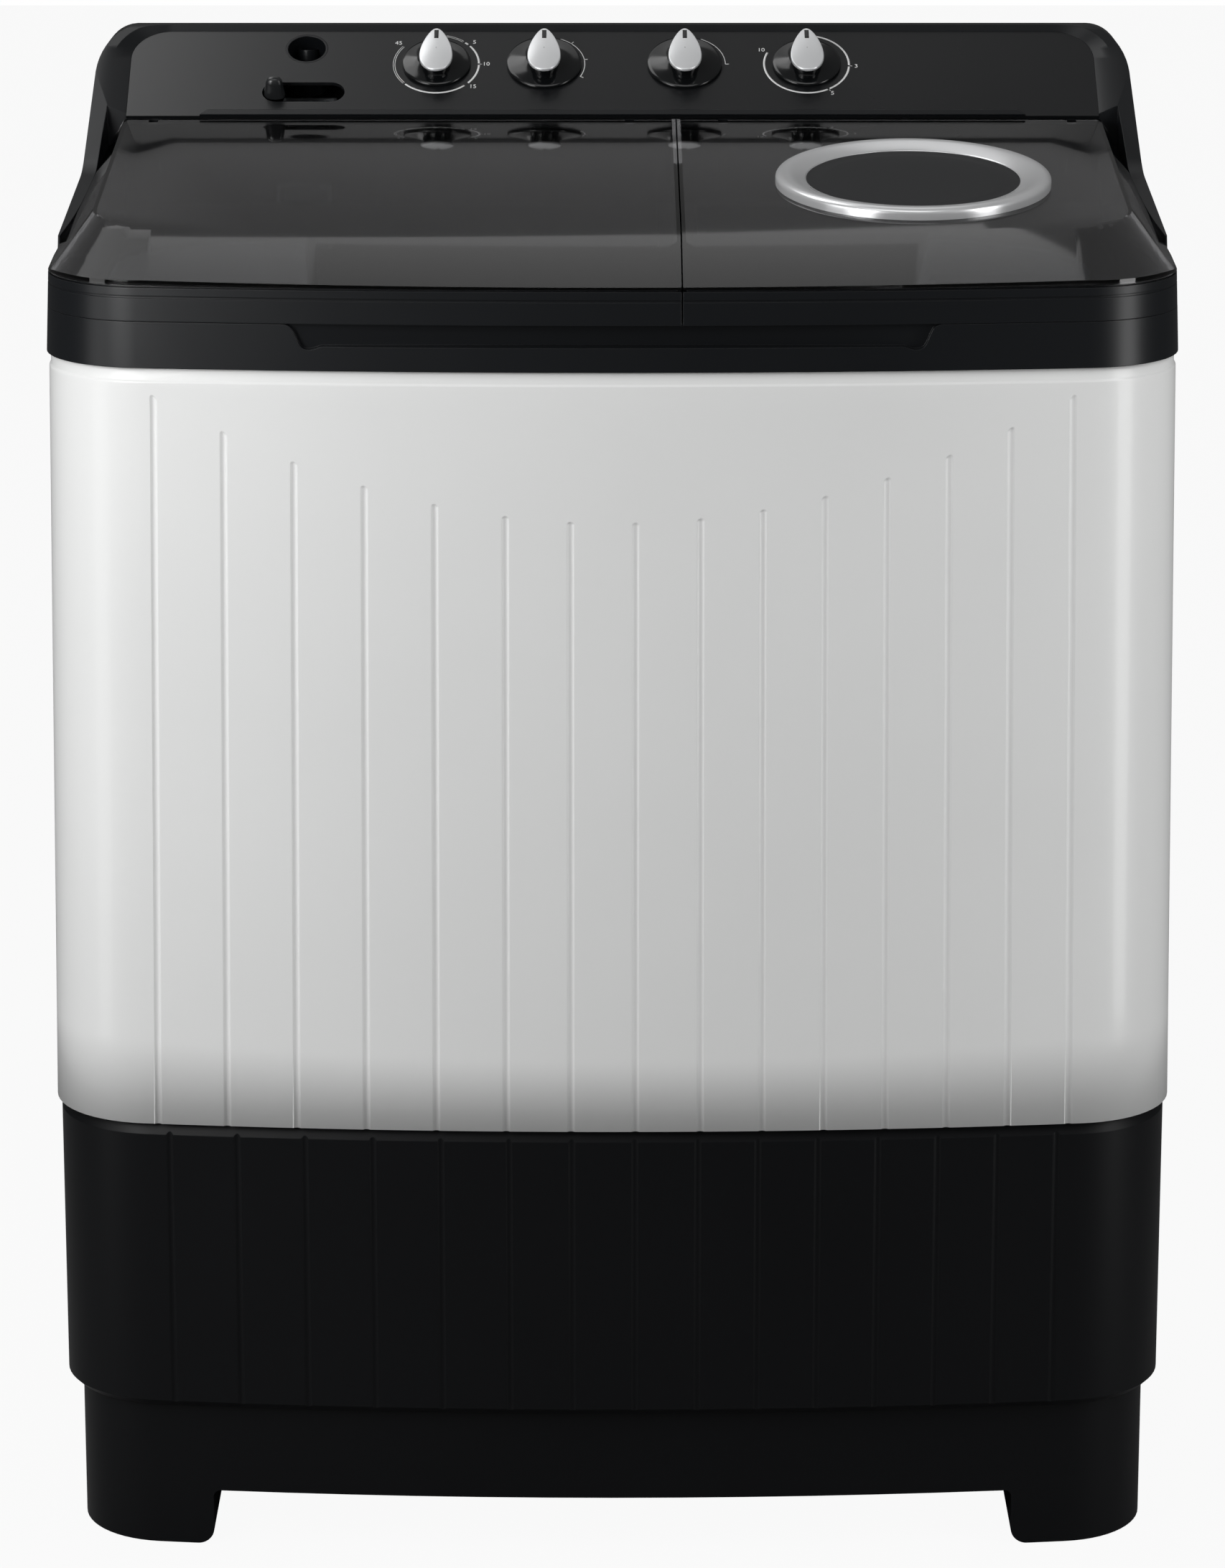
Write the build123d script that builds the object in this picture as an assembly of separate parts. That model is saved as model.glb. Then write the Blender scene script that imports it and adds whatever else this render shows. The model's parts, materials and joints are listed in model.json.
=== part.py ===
from build123d import *
import math
import os

os.makedirs("parts", exist_ok=True)

# A free-standing twin tub washer: a wash tub with a pulsator on the left and a
# spin basket on the right, under two hinged lids and a sloping control console.
# Millimetres. X runs to the right, the front faces -Y, Z is up, and the origin
# is on the floor under the centre of the body. A "distance" is measured back
# from the foremost point of the body.

# ---------------------------------------------------------------- body
body_width = 782.0          # across the skirt of the top deck
body_depth = 480.0          # from the bowed front to the flat back
front_bow = 26.0            # how far the front swells between its corners
corner_radius = 76.0        # vertical front corners, in plan
rear_radius = 22.0          # vertical back corners, in plan
side_flare = 7.5            # the cabinet widens this much per side to its foot
leg_height = 41.0           # floor to the arch of the plinth
plinth_height = 67.6        # arch to the step under the dark band
band_height = 213.4         # dark lower band
cabinet_height = 540.0      # white wall
skirt_height = 31.6         # dark skirt of the top deck, up to the lid seam
wall = 3.0                  # moulded walls
snug = 0.1                  # play between pieces that stay put

deck_overhang = 1.5         # skirt outside the cabinet
cabinet_lap = 11.0          # cabinet reaches this far up inside the skirt
cabinet_back_set = 4.0      # its back lies this far inside the body
lip_height = 10.0           # bevelled strip at the cabinet's top
lip_set = 1.2
band_set = 2.8              # band inside the foot of the cabinet
band_cove = 9.0             # chamfer under the cabinet's lower edge
cove_set = 4.5
band_edge = 5.0             # bevel of the band's lower edge
plinth_set = 10.5           # plinth inside the band
floor_thick = 5.0           # floor that carries the spin motor
leg_length = 98.0           # each leg along the front and back
leg_depth = 104.0           # each leg along the sides
leg_toe = 12.0              # rounding of each leg's inner toe
arch_radius = 5.0
pad_radius = 17.0
pad_height = 3.0
pad_proud = 1.0

flute_width = 4.8           # grooves down the cabinet and the band
flute_depth = 1.1
flute_pitches = [47.8] * 5 + [44.1] * 3 + [42.1] * 6
flute_first = -311.5
flute_low = 106.5           # start of the shortest groove under the deck
flute_high = 21.5           # start of the outermost grooves under the deck

rear_frame = 46.0           # cabinet wall left round the rear opening
rear_lap = 14.0             # rear cover over that wall
rear_thick = 2.0
louvre_length = 90.0
louvre_height = 5.0
louvre_pitch = 14.0
louvre_rows = 7

# ---------------------------------------------------------------- deck and lids
deck_plate = 4.0
deck_draft = 0.04           # sides and front lean in this much per mm of height
console_depth = 103.0       # lower edge of the panel to the flat back
lid_gap = 1.0               # round the lids
lid_rest = 0.3              # under the lids
lid_seam_x = 47.0           # line between the two lids
band_lid = 23.2             # height of the lids' front band
rim_gap = 1.4               # shadow line between band and window
lid_set = 2.5               # back edge of the lids before the panel
lid_top = 87.4              # height of the lids' back edge over the seam line
lid_slope = 0.114           # the lids fall to the front
crease_back = 65.5          # front crease of the windows behind the front
crease_set = 30.0           # side creases inside the skirt
crease_radius = 50.0
bevel_drop = 60.0           # the bevel faces are laid out this far down
bevel_front = 211.0         # and this far out at the front,
bevel_side_front = 63.0     # at the front end of the sides
bevel_side_back = 36.0      # and at their back end
bevel_radius = 120.0
window_wall = 2.6
frame_bar = 13.0            # width of the frame bars
groove_drop = 7.2           # groove under the top of the front band
groove_size = 1.6
pivot_front = 7.0           # hinge axis before the panel's lower edge
pivot_drop = 6.9            # and under the lids' top there
pin_radius = 2.5
pin_clear = 0.05
lug_width = 6.0
lug_gap = 0.4
knuckle_length = 12.0
back_bar_drop = 22.0        # back bar of the lid frames under the axis
lug_inset = 34.0            # hinge lugs from the ends of each lid
scoop_top = 220.0           # finger scoop: half its length at the top
scoop_bottom = 197.0
scoop_height = 14.9
scoop_depth = 13.0

# ---------------------------------------------------------------- console
panel_angle = 34.5
panel_rise = 89.4           # lower edge of the panel over the lid seam
panel_length = 93.5
panel_set = 31.0            # panel ends inside the skirt
panel_radius = 30.0
panel_thick = 3.0
panel_sink = 5.0            # panel below the rim round it
panel_ledge = 7.0           # support under the panel's edge
rim_set = 18.0              # inner edge of the rim inside the skirt
rim_length = 99.5
rim_radius = 42.0
console_rise = 147.8        # top of the console over the lid seam
console_radius = 32.0       # its upper side corners
top_flat = 9.0
back_round = 18.0
arm_bend = 60.0             # radius where the arms turn up to the console
arm_start = 150.0           # nose of the arms behind the front
rail_half = 300.0           # raised lip over the hinges
rail_length = 5.5
rail_height = 1.6
pocket_back = 2.0           # rear wall of the lids' pocket behind the panel's edge
arm_drop = 24.9             # top of the arms under the lids' top
service_lap = 10.0          # rear service cover over its opening

# ---------------------------------------------------------------- wash tub
tub_side_gap = 25.0         # tub inside the skirt
tub_seam_gap = 13.0         # tub from the line between the lids
tub_front_gap = 27.0
tub_back_gap = 15.0         # before the panel's lower edge
tub_taper = 12.0
tub_radius = 100.0
tub_wall = 2.5
tub_mouth = 6.0             # deck reaches this far in over the tub
tub_flange = 8.0
tub_depth = 458.0           # deck plate to the tub's floor
sump_depth = 14.0
sump_clear = 5.0
pulsator_radius = 146.0
pulsator_thick = 8.0
pulsator_crown = 26.0
vane_count = 6
vane_height = 22.0
shaft_radius = 8.0
run_clear = 0.05            # shafts in their bores

# ---------------------------------------------------------------- spin side
spin_x = 212.5
spin_back_gap = 180.0       # spin axis before the panel's lower edge
spin_tub_radius = 154.0
spin_tub_depth = 486.0
basket_radius = 128.0
basket_height = 410.0
basket_wall = 2.0
basket_drop = 46.0          # rim of the basket under the deck plate
balance_ring = 16.0
mouth_radius = 116.0
safety_radius = 126.0
safety_thick = 3.0
seat_depth = 2.0
ring_radius = 97.5          # bright ring on the spin lid
ring_inner = 75.6
ring_height = 8.0
lug_stand = 6.0             # hinge brackets under the lid frames' back bar
lug_eye = 1.7               # metal round the pin

# ---------------------------------------------------------------- drain
drain_x = 54.0
drain_z = 165.0
recess_half = 32.0
recess_depth = 34.0

# ---------------------------------------------------------------- controls
# each dial: across the panel, up the panel, radius of its skirt
dial_level = 57.0
dials = {"wash_timer": -131.5, "wash_selector": -51.0, "drain_selector": 54.0, "spin_timer": 145.0}
timer_skirt = 25.5
selector_skirt = 28.0
skirt_lift = 0.6
knob_height = 11.5
grip_length = 46.0          # grip of each knob along its pointer
grip_width = 25.0
cap_thick = 6.0
pointer_length = 9.0
pointer_width = 2.6
stem_radius = 4.0
stem_length = 22.0
timer_size = 52.0
timer_depth = 30.0
slot_x = -229.8             # slot of the water selector
slot_level = 26.2
slot_half = 30.7
slot_high = 10.6
lever_width = 16.0
lever_height = 28.0
inlet_x = -229.0
inlet_level = 74.0
inlet_radius = 16.0
nipple_radius = 7.8
nipple_height = 24.0

# ---------------------------------------------------------------- drive
gearbox_radius = 58.0
gearbox_height = 50.0
pulley_radius = 80.0
pulley_width = 16.0
small_pulley = 19.0
belt_thick = 5.0
belt_width = 9.0
motor_offset = 165.0        # wash motor beside the pulsator's axis
motor_radius = 56.0
motor_height = 98.0
motor_shaft = 6.0
post_radius = 7.0
spin_motor_radius = 62.0
spin_motor_height = 100.0
spring_ring = 68.0
spring_radius = 14.0
spring_turns = 3
wire_radius = 1.8
drum_radius = 48.0
drum_height = 24.0
bearing_radius = 13.0
seal_radius = 40.0
hub_rise = 34.0             # basket's hub over its floor
spin_shaft_radius = 8.0
drain_bore = 13.0
filter_rise = 210.0         # lint filter over the tub's floor
filter_height = 170.0
filter_thick = 16.0
basket_rows = 9
basket_columns = 12
hole_radius = 3.0
brake_gap = 3.0             # shoe off the drum while the spin lid is shut
rod_radius = 2.5
screw_head = 4.0
screw_head_high = 1.5
screw_shank = 2.0
screw_length = 9.0
pipe_outer = 15.0
pipe_inner = 13.0
spigot_radius = 16.0
elbow_bead = 0.4            # elbows stand out from their pipes by this
spigot_set = 4.0
spray_radius = 9.0
spray_level = 24.0          # filling pipe over the line between the lids
chute_half = 20.0
gland_radius = 10.0
capacitor_radius = 20.0
capacitor_height = 70.0

# ---------------------------------------------------------------- levels
band_z = leg_height + plinth_height
cabinet_z = band_z + band_height
deck_z = cabinet_z + cabinet_height
seam_z = deck_z + skirt_height
floor_z = band_z - floor_thick
back_y = body_depth / 2
deck_half = body_width / 2
bow_curve = (deck_half ** 2 + front_bow ** 2) / (2 * front_bow)
deck_top = seam_z + console_rise

panel_d = body_depth - console_depth
lid_back = panel_d - lid_set
lid_top_z = seam_z + lid_top
pivot_d = panel_d - pivot_front
rim_z = seam_z + band_lid
spray_z = seam_z + spray_level
window_z = rim_z + rim_gap


def from_front(distance):
    """Y of a place this far behind the foremost point."""
    return distance - body_depth / 2


def lid_z(distance):
    """Height of the lids' flat top at a distance from the front."""
    return lid_top_z - lid_slope * (lid_back - distance)


pivot_y = from_front(pivot_d)
pivot_z = lid_z(pivot_d) - pivot_drop


def bow_y(x, front):
    """Y of the bowed front at x, where its middle is at front."""
    return front + bow_curve - math.sqrt(bow_curve ** 2 - x ** 2)


def outline(half, front, back, corner, rear, z):
    """Plan face with a bowed front, straight sides and round corners."""
    side = bow_y(half, front)
    bow = ThreePointArc((-half, side), (0, front), (half, side))
    rest = Polyline((half, side), (half, back), (-half, back), (-half, side))
    face = make_face([bow, rest])
    face = fillet(face.vertices().sort_by(Axis.Y)[:2], corner)
    face = fillet(face.vertices().sort_by(Axis.Y)[-2:], rear)
    return Pos(0, 0, z) * face


def between(lower, upper):
    """Straight-sided solid between two outlines."""
    return loft([lower, upper], ruled=True)


def box(x0, x1, y0, y1, z0, z1):
    """Box between two corners."""
    return Pos((x0 + x1) / 2, (y0 + y1) / 2, (z0 + z1) / 2) * Box(x1 - x0, y1 - y0, z1 - z0)


def rod(x, y, z0, z1, radius):
    """Upright cylinder."""
    return Pos(x, y, (z0 + z1) / 2) * Cylinder(radius, z1 - z0)


def tube(x, y, z0, z1, outer, inner):
    """Upright ring."""
    return rod(x, y, z0, z1, outer) - rod(x, y, z0, z1, inner)


def cross_rod(x0, x1, y, z, radius):
    """Cylinder along X."""
    return Pos((x0 + x1) / 2, y, z) * Rot(0, 90, 0) * Cylinder(radius, x1 - x0)


def turned(points, x=0.0, y=0.0):
    """Solid of revolution about an upright axis, from (radius, height) points."""
    face = Plane.XZ * make_face(Polyline(*points, close=True))
    return Pos(x, y, 0) * revolve(face, Axis.Z)


# ---------------------------------------------------------------- cabinet
flute_x = [flute_first + sum(flute_pitches[:i]) for i in range(len(flute_pitches) + 1)]
flute_tool = (flute_depth ** 2 + (flute_width / 2) ** 2) / (2 * flute_depth)
cabinet_front = from_front(deck_overhang)
foot_half = deck_half - deck_overhang + side_flare


def flute(x, z0, z1, front):
    """Rod that cuts one groove with a rounded top."""
    y = bow_y(x, front) - flute_tool + flute_depth
    return rod(x, y, z0, z1, flute_tool) + Pos(x, y, z1) * Sphere(flute_tool)


def flute_top(x):
    """Tops of the grooves lie on a sagging curve across the front."""
    middle = (flute_x[0] + flute_x[-1]) / 2
    share = ((x - middle) / (flute_x[-1] - middle)) ** 2
    return deck_z - flute_low + (flute_low - flute_high) * share


def cabinet_level(z, inset=0.0, thick=0.0):
    """Plan of the cabinet at a height."""
    spread = side_flare * (deck_z - z) / cabinet_height
    return outline(
        deck_half - deck_overhang + spread - inset - thick, cabinet_front + inset + thick,
        back_y - cabinet_back_set - thick, corner_radius - inset - thick,
        rear_radius - cabinet_back_set - thick, z,
    )


lap_set = wall + cabinet_lap * deck_draft + 2 * snug - deck_overhang


def make_cabinet():
    """Fluted shell, open above and below, with the opening for the rear cover."""
    lip_z = deck_z - lip_height
    top = deck_z + cabinet_lap
    shell = between(cabinet_level(cabinet_z), cabinet_level(lip_z))
    shell += between(cabinet_level(lip_z), cabinet_level(lip_z + lip_set, lip_set))
    shell += between(cabinet_level(lip_z + lip_set, lip_set), cabinet_level(deck_z, lip_set))
    shell += between(cabinet_level(deck_z - wall, lap_set), cabinet_level(top, lap_set))
    shell -= between(
        cabinet_level(cabinet_z - lip_height, lip_set, wall), cabinet_level(top + lip_height, lip_set, wall)
    )
    shell -= [flute(x, cabinet_z - lip_height, flute_top(x), cabinet_front) for x in flute_x]
    opening = rear_opening()
    return shell - box(opening[0], opening[1], 0, back_y, opening[2], opening[3])


def rear_opening():
    """Edges of the opening in the cabinet's back: x0, x1, z0, z1."""
    half = deck_half - rear_frame
    return -half, half, cabinet_z + rear_frame, deck_z - rear_frame


def rear_screw_places():
    """Screws round the rear cover, half way across its lap."""
    x0, x1, z0, z1 = rear_opening()
    edge = rear_lap / 2
    rows = [z0 - edge, (z0 + z1) / 2, z1 + edge]
    sides = [(x, z) for x in (x0 - edge, x1 + edge) for z in rows]
    return sides + [(0, z0 - edge), (0, z1 + edge)]


# ---------------------------------------------------------------- base
band_half = foot_half - band_set
band_front = deck_overhang + band_set
plinth_half = band_half - plinth_set
leg_x = plinth_half - leg_length
leg_y0 = from_front(leg_depth)
leg_y1 = back_y - leg_depth


def base_level(z, inset=0.0, thick=0.0):
    """Plan of the base at a height."""
    return outline(
        band_half - inset - thick, from_front(band_front + inset + thick), back_y - thick,
        corner_radius - inset - thick, rear_radius - thick, z,
    )


def arch(low, high):
    """Face of the gap between two legs, with rounded toes."""
    face = Pos((low + high) / 2, leg_height / 2) * Rectangle(high - low, leg_height)
    face = fillet(face.vertices().sort_by(Axis.Y)[-2:], arch_radius)
    for x, side in ((low, -1), (high, 1)):
        toe = Pos(x + side * leg_toe / 2, leg_toe / 2) * Rectangle(leg_toe, leg_toe)
        face += toe - Pos(x + side * leg_toe, leg_toe) * Circle(leg_toe)
    return face


def make_base():
    """Black base: fluted band, plinth with its arches, four legs and a floor."""
    cove_z = cabinet_z - band_cove
    shell = between(base_level(band_z, band_edge), base_level(band_z + band_edge))
    shell += between(base_level(band_z + band_edge), base_level(cove_z))
    shell += between(base_level(cove_z), base_level(cabinet_z, cove_set))
    shell -= extrude(base_level(band_z, band_edge, wall), cabinet_z)
    shell -= [flute(x, floor_z, cabinet_z, from_front(band_front)) for x in flute_x]
    plinth = extrude(base_level(pad_proud, plinth_set), band_z - pad_proud)
    hollow = extrude(base_level(pad_proud, plinth_set, wall), floor_z - pad_proud)
    legs = [
        box(x0, x1, y0, y1, pad_proud, floor_z)
        for x0, x1 in ((-plinth_half, -leg_x), (leg_x, plinth_half))
        for y0, y1 in ((-back_y, leg_y0), (leg_y1, back_y))
    ]
    plinth -= hollow - legs
    plinth -= extrude(Plane.XZ * Pos(0, pad_proud) * arch(-leg_x, leg_x), body_depth, both=True)
    plinth -= extrude(Plane.YZ * Pos(0, pad_proud) * arch(leg_y0, leg_y1), body_width, both=True)
    plinth -= [rod(x, y, 0, pad_height, pad_radius + snug) for x, y in pad_places()]
    tray = extrude(base_level(pad_height + wall, plinth_set, wall), band_z)
    corners = [
        box(x0, x1, y0, y1, 0, band_z + wall)
        for x0, x1 in ((-plinth_half, -leg_x - wall), (leg_x + wall, plinth_half))
        for y0, y1 in ((-back_y, leg_y0 - wall), (leg_y1 + wall, back_y))
    ]
    plinth -= [tray & corner for corner in corners]
    recess = spigot_recess()
    spigot = Pos(drain_x, back_y - recess_depth, drain_z) * Rot(90, 0, 0) * Cylinder(
        pipe_outer + snug, 3 * wall)
    return shell + plinth + spigot_recess(wall) - recess - spigot


def pad_places():
    """Middle of each leg's sole."""
    x = plinth_half - leg_length / 2
    return [(s * x, y) for s in (-1, 1) for y in ((leg_y0 - back_y) / 2 + 8, (leg_y1 + back_y) / 2)]


# ---------------------------------------------------------------- top deck
def deck_level(z, thick=0.0):
    """Plan of the deck and lids at a height."""
    lean = (z - deck_z) * deck_draft + thick
    return outline(
        deck_half - lean, from_front(lean), back_y - thick, corner_radius - lean,
        max(rear_radius - thick, wall), z,
    )


def lid_prism(z0, z1, grow=0.0, back=lid_back):
    """Upright solid inside the side edges of the lids, wide open at the front."""
    # each pair: inside the skirt by, before the back edge by
    side = [(18.0, 0.0), (15.0, 53.5), (13.0, 119.5), (9.0, 184.5), (4.7, 224.5), (1.5, 256.5)]
    points = [(deck_half - inset + grow, from_front(lid_back - before)) for inset, before in side]
    curve = Spline(*points)
    start_x = points[0][0]
    end_x, end_y = points[-1]
    far_x, far_y = end_x + wall, -body_depth
    back_end = from_front(back)
    rest = [points[-1], (far_x, end_y - wall), (far_x, far_y), (0, far_y), (0, back_end), (start_x, back_end)]
    if back > lid_back:
        rest.append(points[0])
    right = make_face([curve, Polyline(*rest)])
    face = right + mirror(right, Plane.YZ)
    return extrude(Pos(0, 0, z0) * face, z1 - z0)


def bevel_solid(inset=0.0):
    """Solid under the lids' flat top and the bevels that fall from its creases."""
    slope = math.degrees(math.atan(lid_slope))
    top = Plane(
        origin=(0, from_front(lid_back), lid_top_z - inset), x_dir=(1, 0, 0), z_dir=(0, -lid_slope, 1))
    stretch = 1 / math.cos(math.radians(slope))

    def level(half_front, half_back, front, corner, drop):
        """Outline of the lids' block at one height."""
        length = (lid_back - front) * stretch
        bow = bow_y(half_front, 0)
        arc = ThreePointArc((-half_front, bow - length), (0, -length), (half_front, bow - length))
        rest = Polyline(
            (half_front, bow - length), (half_back, 0), (-half_back, 0), (-half_front, bow - length)
        )
        face = make_face([arc, rest])
        face = fillet(face.vertices().sort_by(Axis.Y)[:2], corner)
        return top * Pos(0, 0, -drop) * face

    half = deck_half - crease_set - inset
    upper = level(half, half, crease_back + inset, crease_radius - inset, 0)
    lower = level(
        half + bevel_side_front, half + bevel_side_back, crease_back + inset - bevel_front,
        bevel_radius, bevel_drop,
    )
    return between(lower, upper) + extrude(lower, bevel_drop, dir=(0, 0, -1))

tub_x0 = -(deck_half - tub_side_gap)
tub_x1 = lid_seam_x - tub_seam_gap
tub_x = (tub_x0 + tub_x1) / 2
tub_y0 = from_front(tub_front_gap)
tub_y1 = from_front(panel_d - tub_back_gap)
tub_y = (tub_y0 + tub_y1) / 2
spin_y = from_front(panel_d - spin_back_gap)


def tub_face(z, inset):
    """Plan of the wash tub, drawn in by inset."""
    face = Rectangle(tub_x1 - tub_x0 - 2 * inset, tub_y1 - tub_y0 - 2 * inset)
    return Pos(tub_x, tub_y, z) * fillet(face.vertices(), tub_radius - inset)


def lug_places():
    """Middle of each hinge lug along X."""
    ends = (-(rim_half), lid_seam_x - lid_gap / 2), (lid_seam_x + lid_gap / 2, rim_half)
    return [x for x0, x1 in ends for x in (x0 + lug_inset, x1 - lug_inset)]


def hinge_lug(x):
    """Bracket from the pocket's rear wall, and the eye that it carries."""
    wall_y = from_front(panel_d + pocket_back) + snug
    bar_z = pivot_z - back_bar_drop - lug_stand
    eye = pin_radius + lug_eye
    lug = box(x - lug_width / 2, x + lug_width / 2, pivot_y - eye, pivot_y + eye, bar_z - lug_width, pivot_z)
    lug += box(x - lug_width / 2, x + lug_width / 2, pivot_y, wall_y, bar_z - lug_width, bar_z)
    lug += cross_rod(x - lug_width / 2, x + lug_width / 2, pivot_y, pivot_z, eye)
    return lug - cross_rod(x - lug_width, x + lug_width, pivot_y, pivot_z, pin_radius)


def spigot_recess(grow=0.0):
    """Pocket in the base's back round the drain spigot."""
    half = recess_half + grow
    return box(
        drain_x - half, drain_x + half, back_y - recess_depth - grow, back_y,
        drain_z - half, drain_z + half,
    )


def lid_block(inset=0.0):
    """The space that both lids fill, from the seam line to their top."""
    base = seam_z + lid_rest - inset
    skin = between(deck_level(base, inset), deck_level(lid_top_z + wall, inset))
    return skin & lid_prism(base, lid_top_z + wall, -inset) & bevel_solid(inset)


def scoop_tool(grow=0.0):
    """Space of the finger scoop under the lids' front band."""
    low = seam_z - scoop_height - grow
    ends = [
        (scoop_bottom + grow, low), (scoop_top - 7 + grow, low + 4),
        (scoop_top - 4 + grow, seam_z - 4), (scoop_top + 4 + grow, seam_z),
    ]
    right = Spline(*ends)
    far = ends[-1][0]
    lid = Polyline((far, seam_z), (far, seam_z + wall), (-far, seam_z + wall), (-far, seam_z))
    face = make_face([right, mirror(right, Plane.YZ), Line((-ends[0][0], low), ends[0]), lid])
    tool = extrude(Plane.XZ * face, body_depth, both=True)
    reach = from_front(scoop_depth + grow)
    return tool & box(-deck_half, deck_half, -body_depth, reach, deck_z, deck_top)


def panel_plane(lift=0.0):
    """Plane of the control panel, its origin on the middle of the lower edge."""
    slope = math.radians(panel_angle)
    plane = Plane(
        origin=(0, from_front(panel_d), seam_z + panel_rise), x_dir=(1, 0, 0),
        z_dir=(0, -math.sin(slope), math.cos(slope)),
    )
    return plane.offset(lift)


def panel_face(half, low, high, radius):
    """Face on the panel plane with round upper corners."""
    face = Pos(0, (low + high) / 2) * Rectangle(2 * half, high - low)
    return fillet(face.vertices().sort_by(Axis.Y)[-2:], radius)


panel_half = deck_half - panel_set
rim_half = deck_half - rim_set
panel_tan = math.tan(math.radians(panel_angle))
rim_line = seam_z + panel_rise + panel_sink / math.cos(math.radians(panel_angle))
cavity_front = from_front(panel_d + pocket_back + wall)
cavity_back = back_y - wall - rear_thick
service_top = deck_top - back_round - wall - service_lap
service_low = seam_z + service_lap + wall


def console_side():
    """Side view of the skirt, the arms and the console."""
    nose = lid_z(arm_start) - arm_drop
    bend_d = (rim_line - nose + lid_slope * arm_start - panel_tan * panel_d) / (lid_slope - panel_tan)
    bend = (from_front(bend_d), rim_line + panel_tan * (bend_d - panel_d))
    crown = (from_front(panel_d + (deck_top - rim_line) / panel_tan), deck_top)
    face = make_face(Polyline(
        (-back_y - wall, deck_z), (-back_y - wall, seam_z), (from_front(arm_start), seam_z),
        (from_front(arm_start + wall), nose), bend, crown, (back_y, deck_top), (back_y, deck_z), close=True,
    ))
    turn = face.vertices().sort_by_distance(bend)[0]
    face = fillet(turn, arm_bend)
    face = fillet(face.vertices().sort_by_distance((back_y, deck_top))[0], back_round)
    return fillet(face.vertices().sort_by_distance(crown)[0], back_round)


def console_front():
    """Front view of the console with its round upper corners."""
    start = deck_top - console_radius
    half = deck_half - deck_draft * (start - deck_z)
    upper = Pos(0, deck_top - console_rise / 2) * Rectangle(2 * half, console_rise)
    upper = fillet(upper.vertices().sort_by(Axis.Y)[-2:], console_radius)
    lower = Pos(0, start / 2) * Rectangle(2 * body_width, start)
    return upper + lower


def make_top_deck():
    """Deck, lid surround and console housing in one moulding."""
    body = extrude(Plane.YZ * console_side(), body_width, both=True)
    body &= between(deck_level(deck_z), deck_level(deck_top))
    body &= extrude(Plane.XZ * console_front(), body_depth, both=True)
    body -= lid_prism(seam_z, deck_top + wall, lid_gap, panel_d + pocket_back)
    # hollow under the plate, with a pocket left round the finger scoop
    hollow = between(deck_level(deck_z - wall, wall), deck_level(seam_z - deck_plate, wall))
    body -= hollow - scoop_tool(wall)
    body -= scoop_tool()
    # cavity of the console
    ceiling = panel_thick + wall
    drop = ceiling / math.cos(math.radians(panel_angle))
    y_top = cavity_back - top_flat
    z0 = rim_line - panel_sink + panel_tan * (cavity_front - from_front(panel_d)) - drop
    z1 = z0 + panel_tan * (y_top - cavity_front)
    cavity = make_face(Polyline(
        (cavity_front, deck_z - wall), (cavity_front, z0), (y_top, z1), (cavity_back, z1),
        (cavity_back, deck_z - wall), close=True,
    ))
    cavity = extrude(Plane.YZ * cavity, panel_half, both=True)
    body -= cavity
    # recess with the control panel's seat and the opening behind it
    low = -panel_length
    seat = panel_plane() * panel_face(panel_half, low, panel_length, panel_radius)
    rim = panel_plane(panel_sink) * panel_face(rim_half, low, rim_length, rim_radius)
    over = panel_plane(panel_sink + back_round) * panel_face(rim_half, low, rim_length, rim_radius)
    before = box(-body_width, body_width, -back_y, from_front(panel_d) + snug, 0, deck_top * 2)
    body -= (between(seat, rim) + between(rim, over)) - before
    bed = panel_plane(-panel_thick) * panel_face(panel_half, 0, panel_length, panel_radius)
    body -= extrude(bed, panel_thick, dir=panel_plane().z_dir)
    inside = panel_plane(-ceiling - wall) * panel_face(
        panel_half - panel_ledge, panel_ledge, panel_length - panel_ledge, panel_radius - panel_ledge
    )
    body -= extrude(inside, 2 * ceiling, dir=panel_plane().z_dir)
    # service opening at the back
    half = panel_half - service_lap
    body -= box(-half, half, cavity_back - wall, back_y, service_low, service_top)
    body -= box(
        -half - service_lap, half + service_lap, back_y - rear_thick, back_y,
        service_low - service_lap, service_top + service_lap,
    )
    # mouths of the two tubs and the seat of the safety lid
    body -= extrude(tub_face(seam_z - deck_plate, tub_mouth), deck_plate)
    body -= rod(spin_x, spin_y, seam_z - deck_plate, seam_z, mouth_radius)
    body -= rod(spin_x, spin_y, seam_z - seat_depth, seam_z, safety_radius + snug * 5)
    # hinge lugs on brackets from the rear wall of the lids' pocket
    for x in lug_places():
        body += hinge_lug(x)
    return body


# ---------------------------------------------------------------- lids
def lid_side(x0, x1):
    """Everything between two places along X."""
    return box(x0, x1, -body_depth, body_depth, 0, 2 * deck_top)


lid_spans = {
    "wash": (-body_width, lid_seam_x - lid_gap / 2),
    "spin": (lid_seam_x + lid_gap / 2, body_width),
}


def lug_notches():
    """Room round the hinge lugs in the back bar and the window's back edge."""
    half = lug_width / 2 + lug_gap
    reach = pin_radius + lug_eye + lug_gap
    return [
        box(x - half, x + half, pivot_y - reach, back_y, pivot_z - 2 * back_bar_drop, lid_top_z + wall)
        for x in lug_places()
    ]


def make_lid_window(name):
    """Clear domed top of one lid, with a wall down to the frame."""
    x0, x1 = lid_spans[name]
    above = box(-body_width, body_width, -body_depth, body_depth, window_z, lid_top_z + wall)
    outer = lid_block() & lid_side(x0, x1)
    inner_x0 = x0 + window_wall if name == "spin" else x0
    inner_x1 = x1 - window_wall if name == "wash" else x1
    open_back = box(inner_x0, inner_x1, -body_depth, from_front(lid_back) + wall, 0, 2 * deck_top)
    window = (outer - (lid_block(window_wall) & open_back)) & above
    return window - lug_notches()


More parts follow.
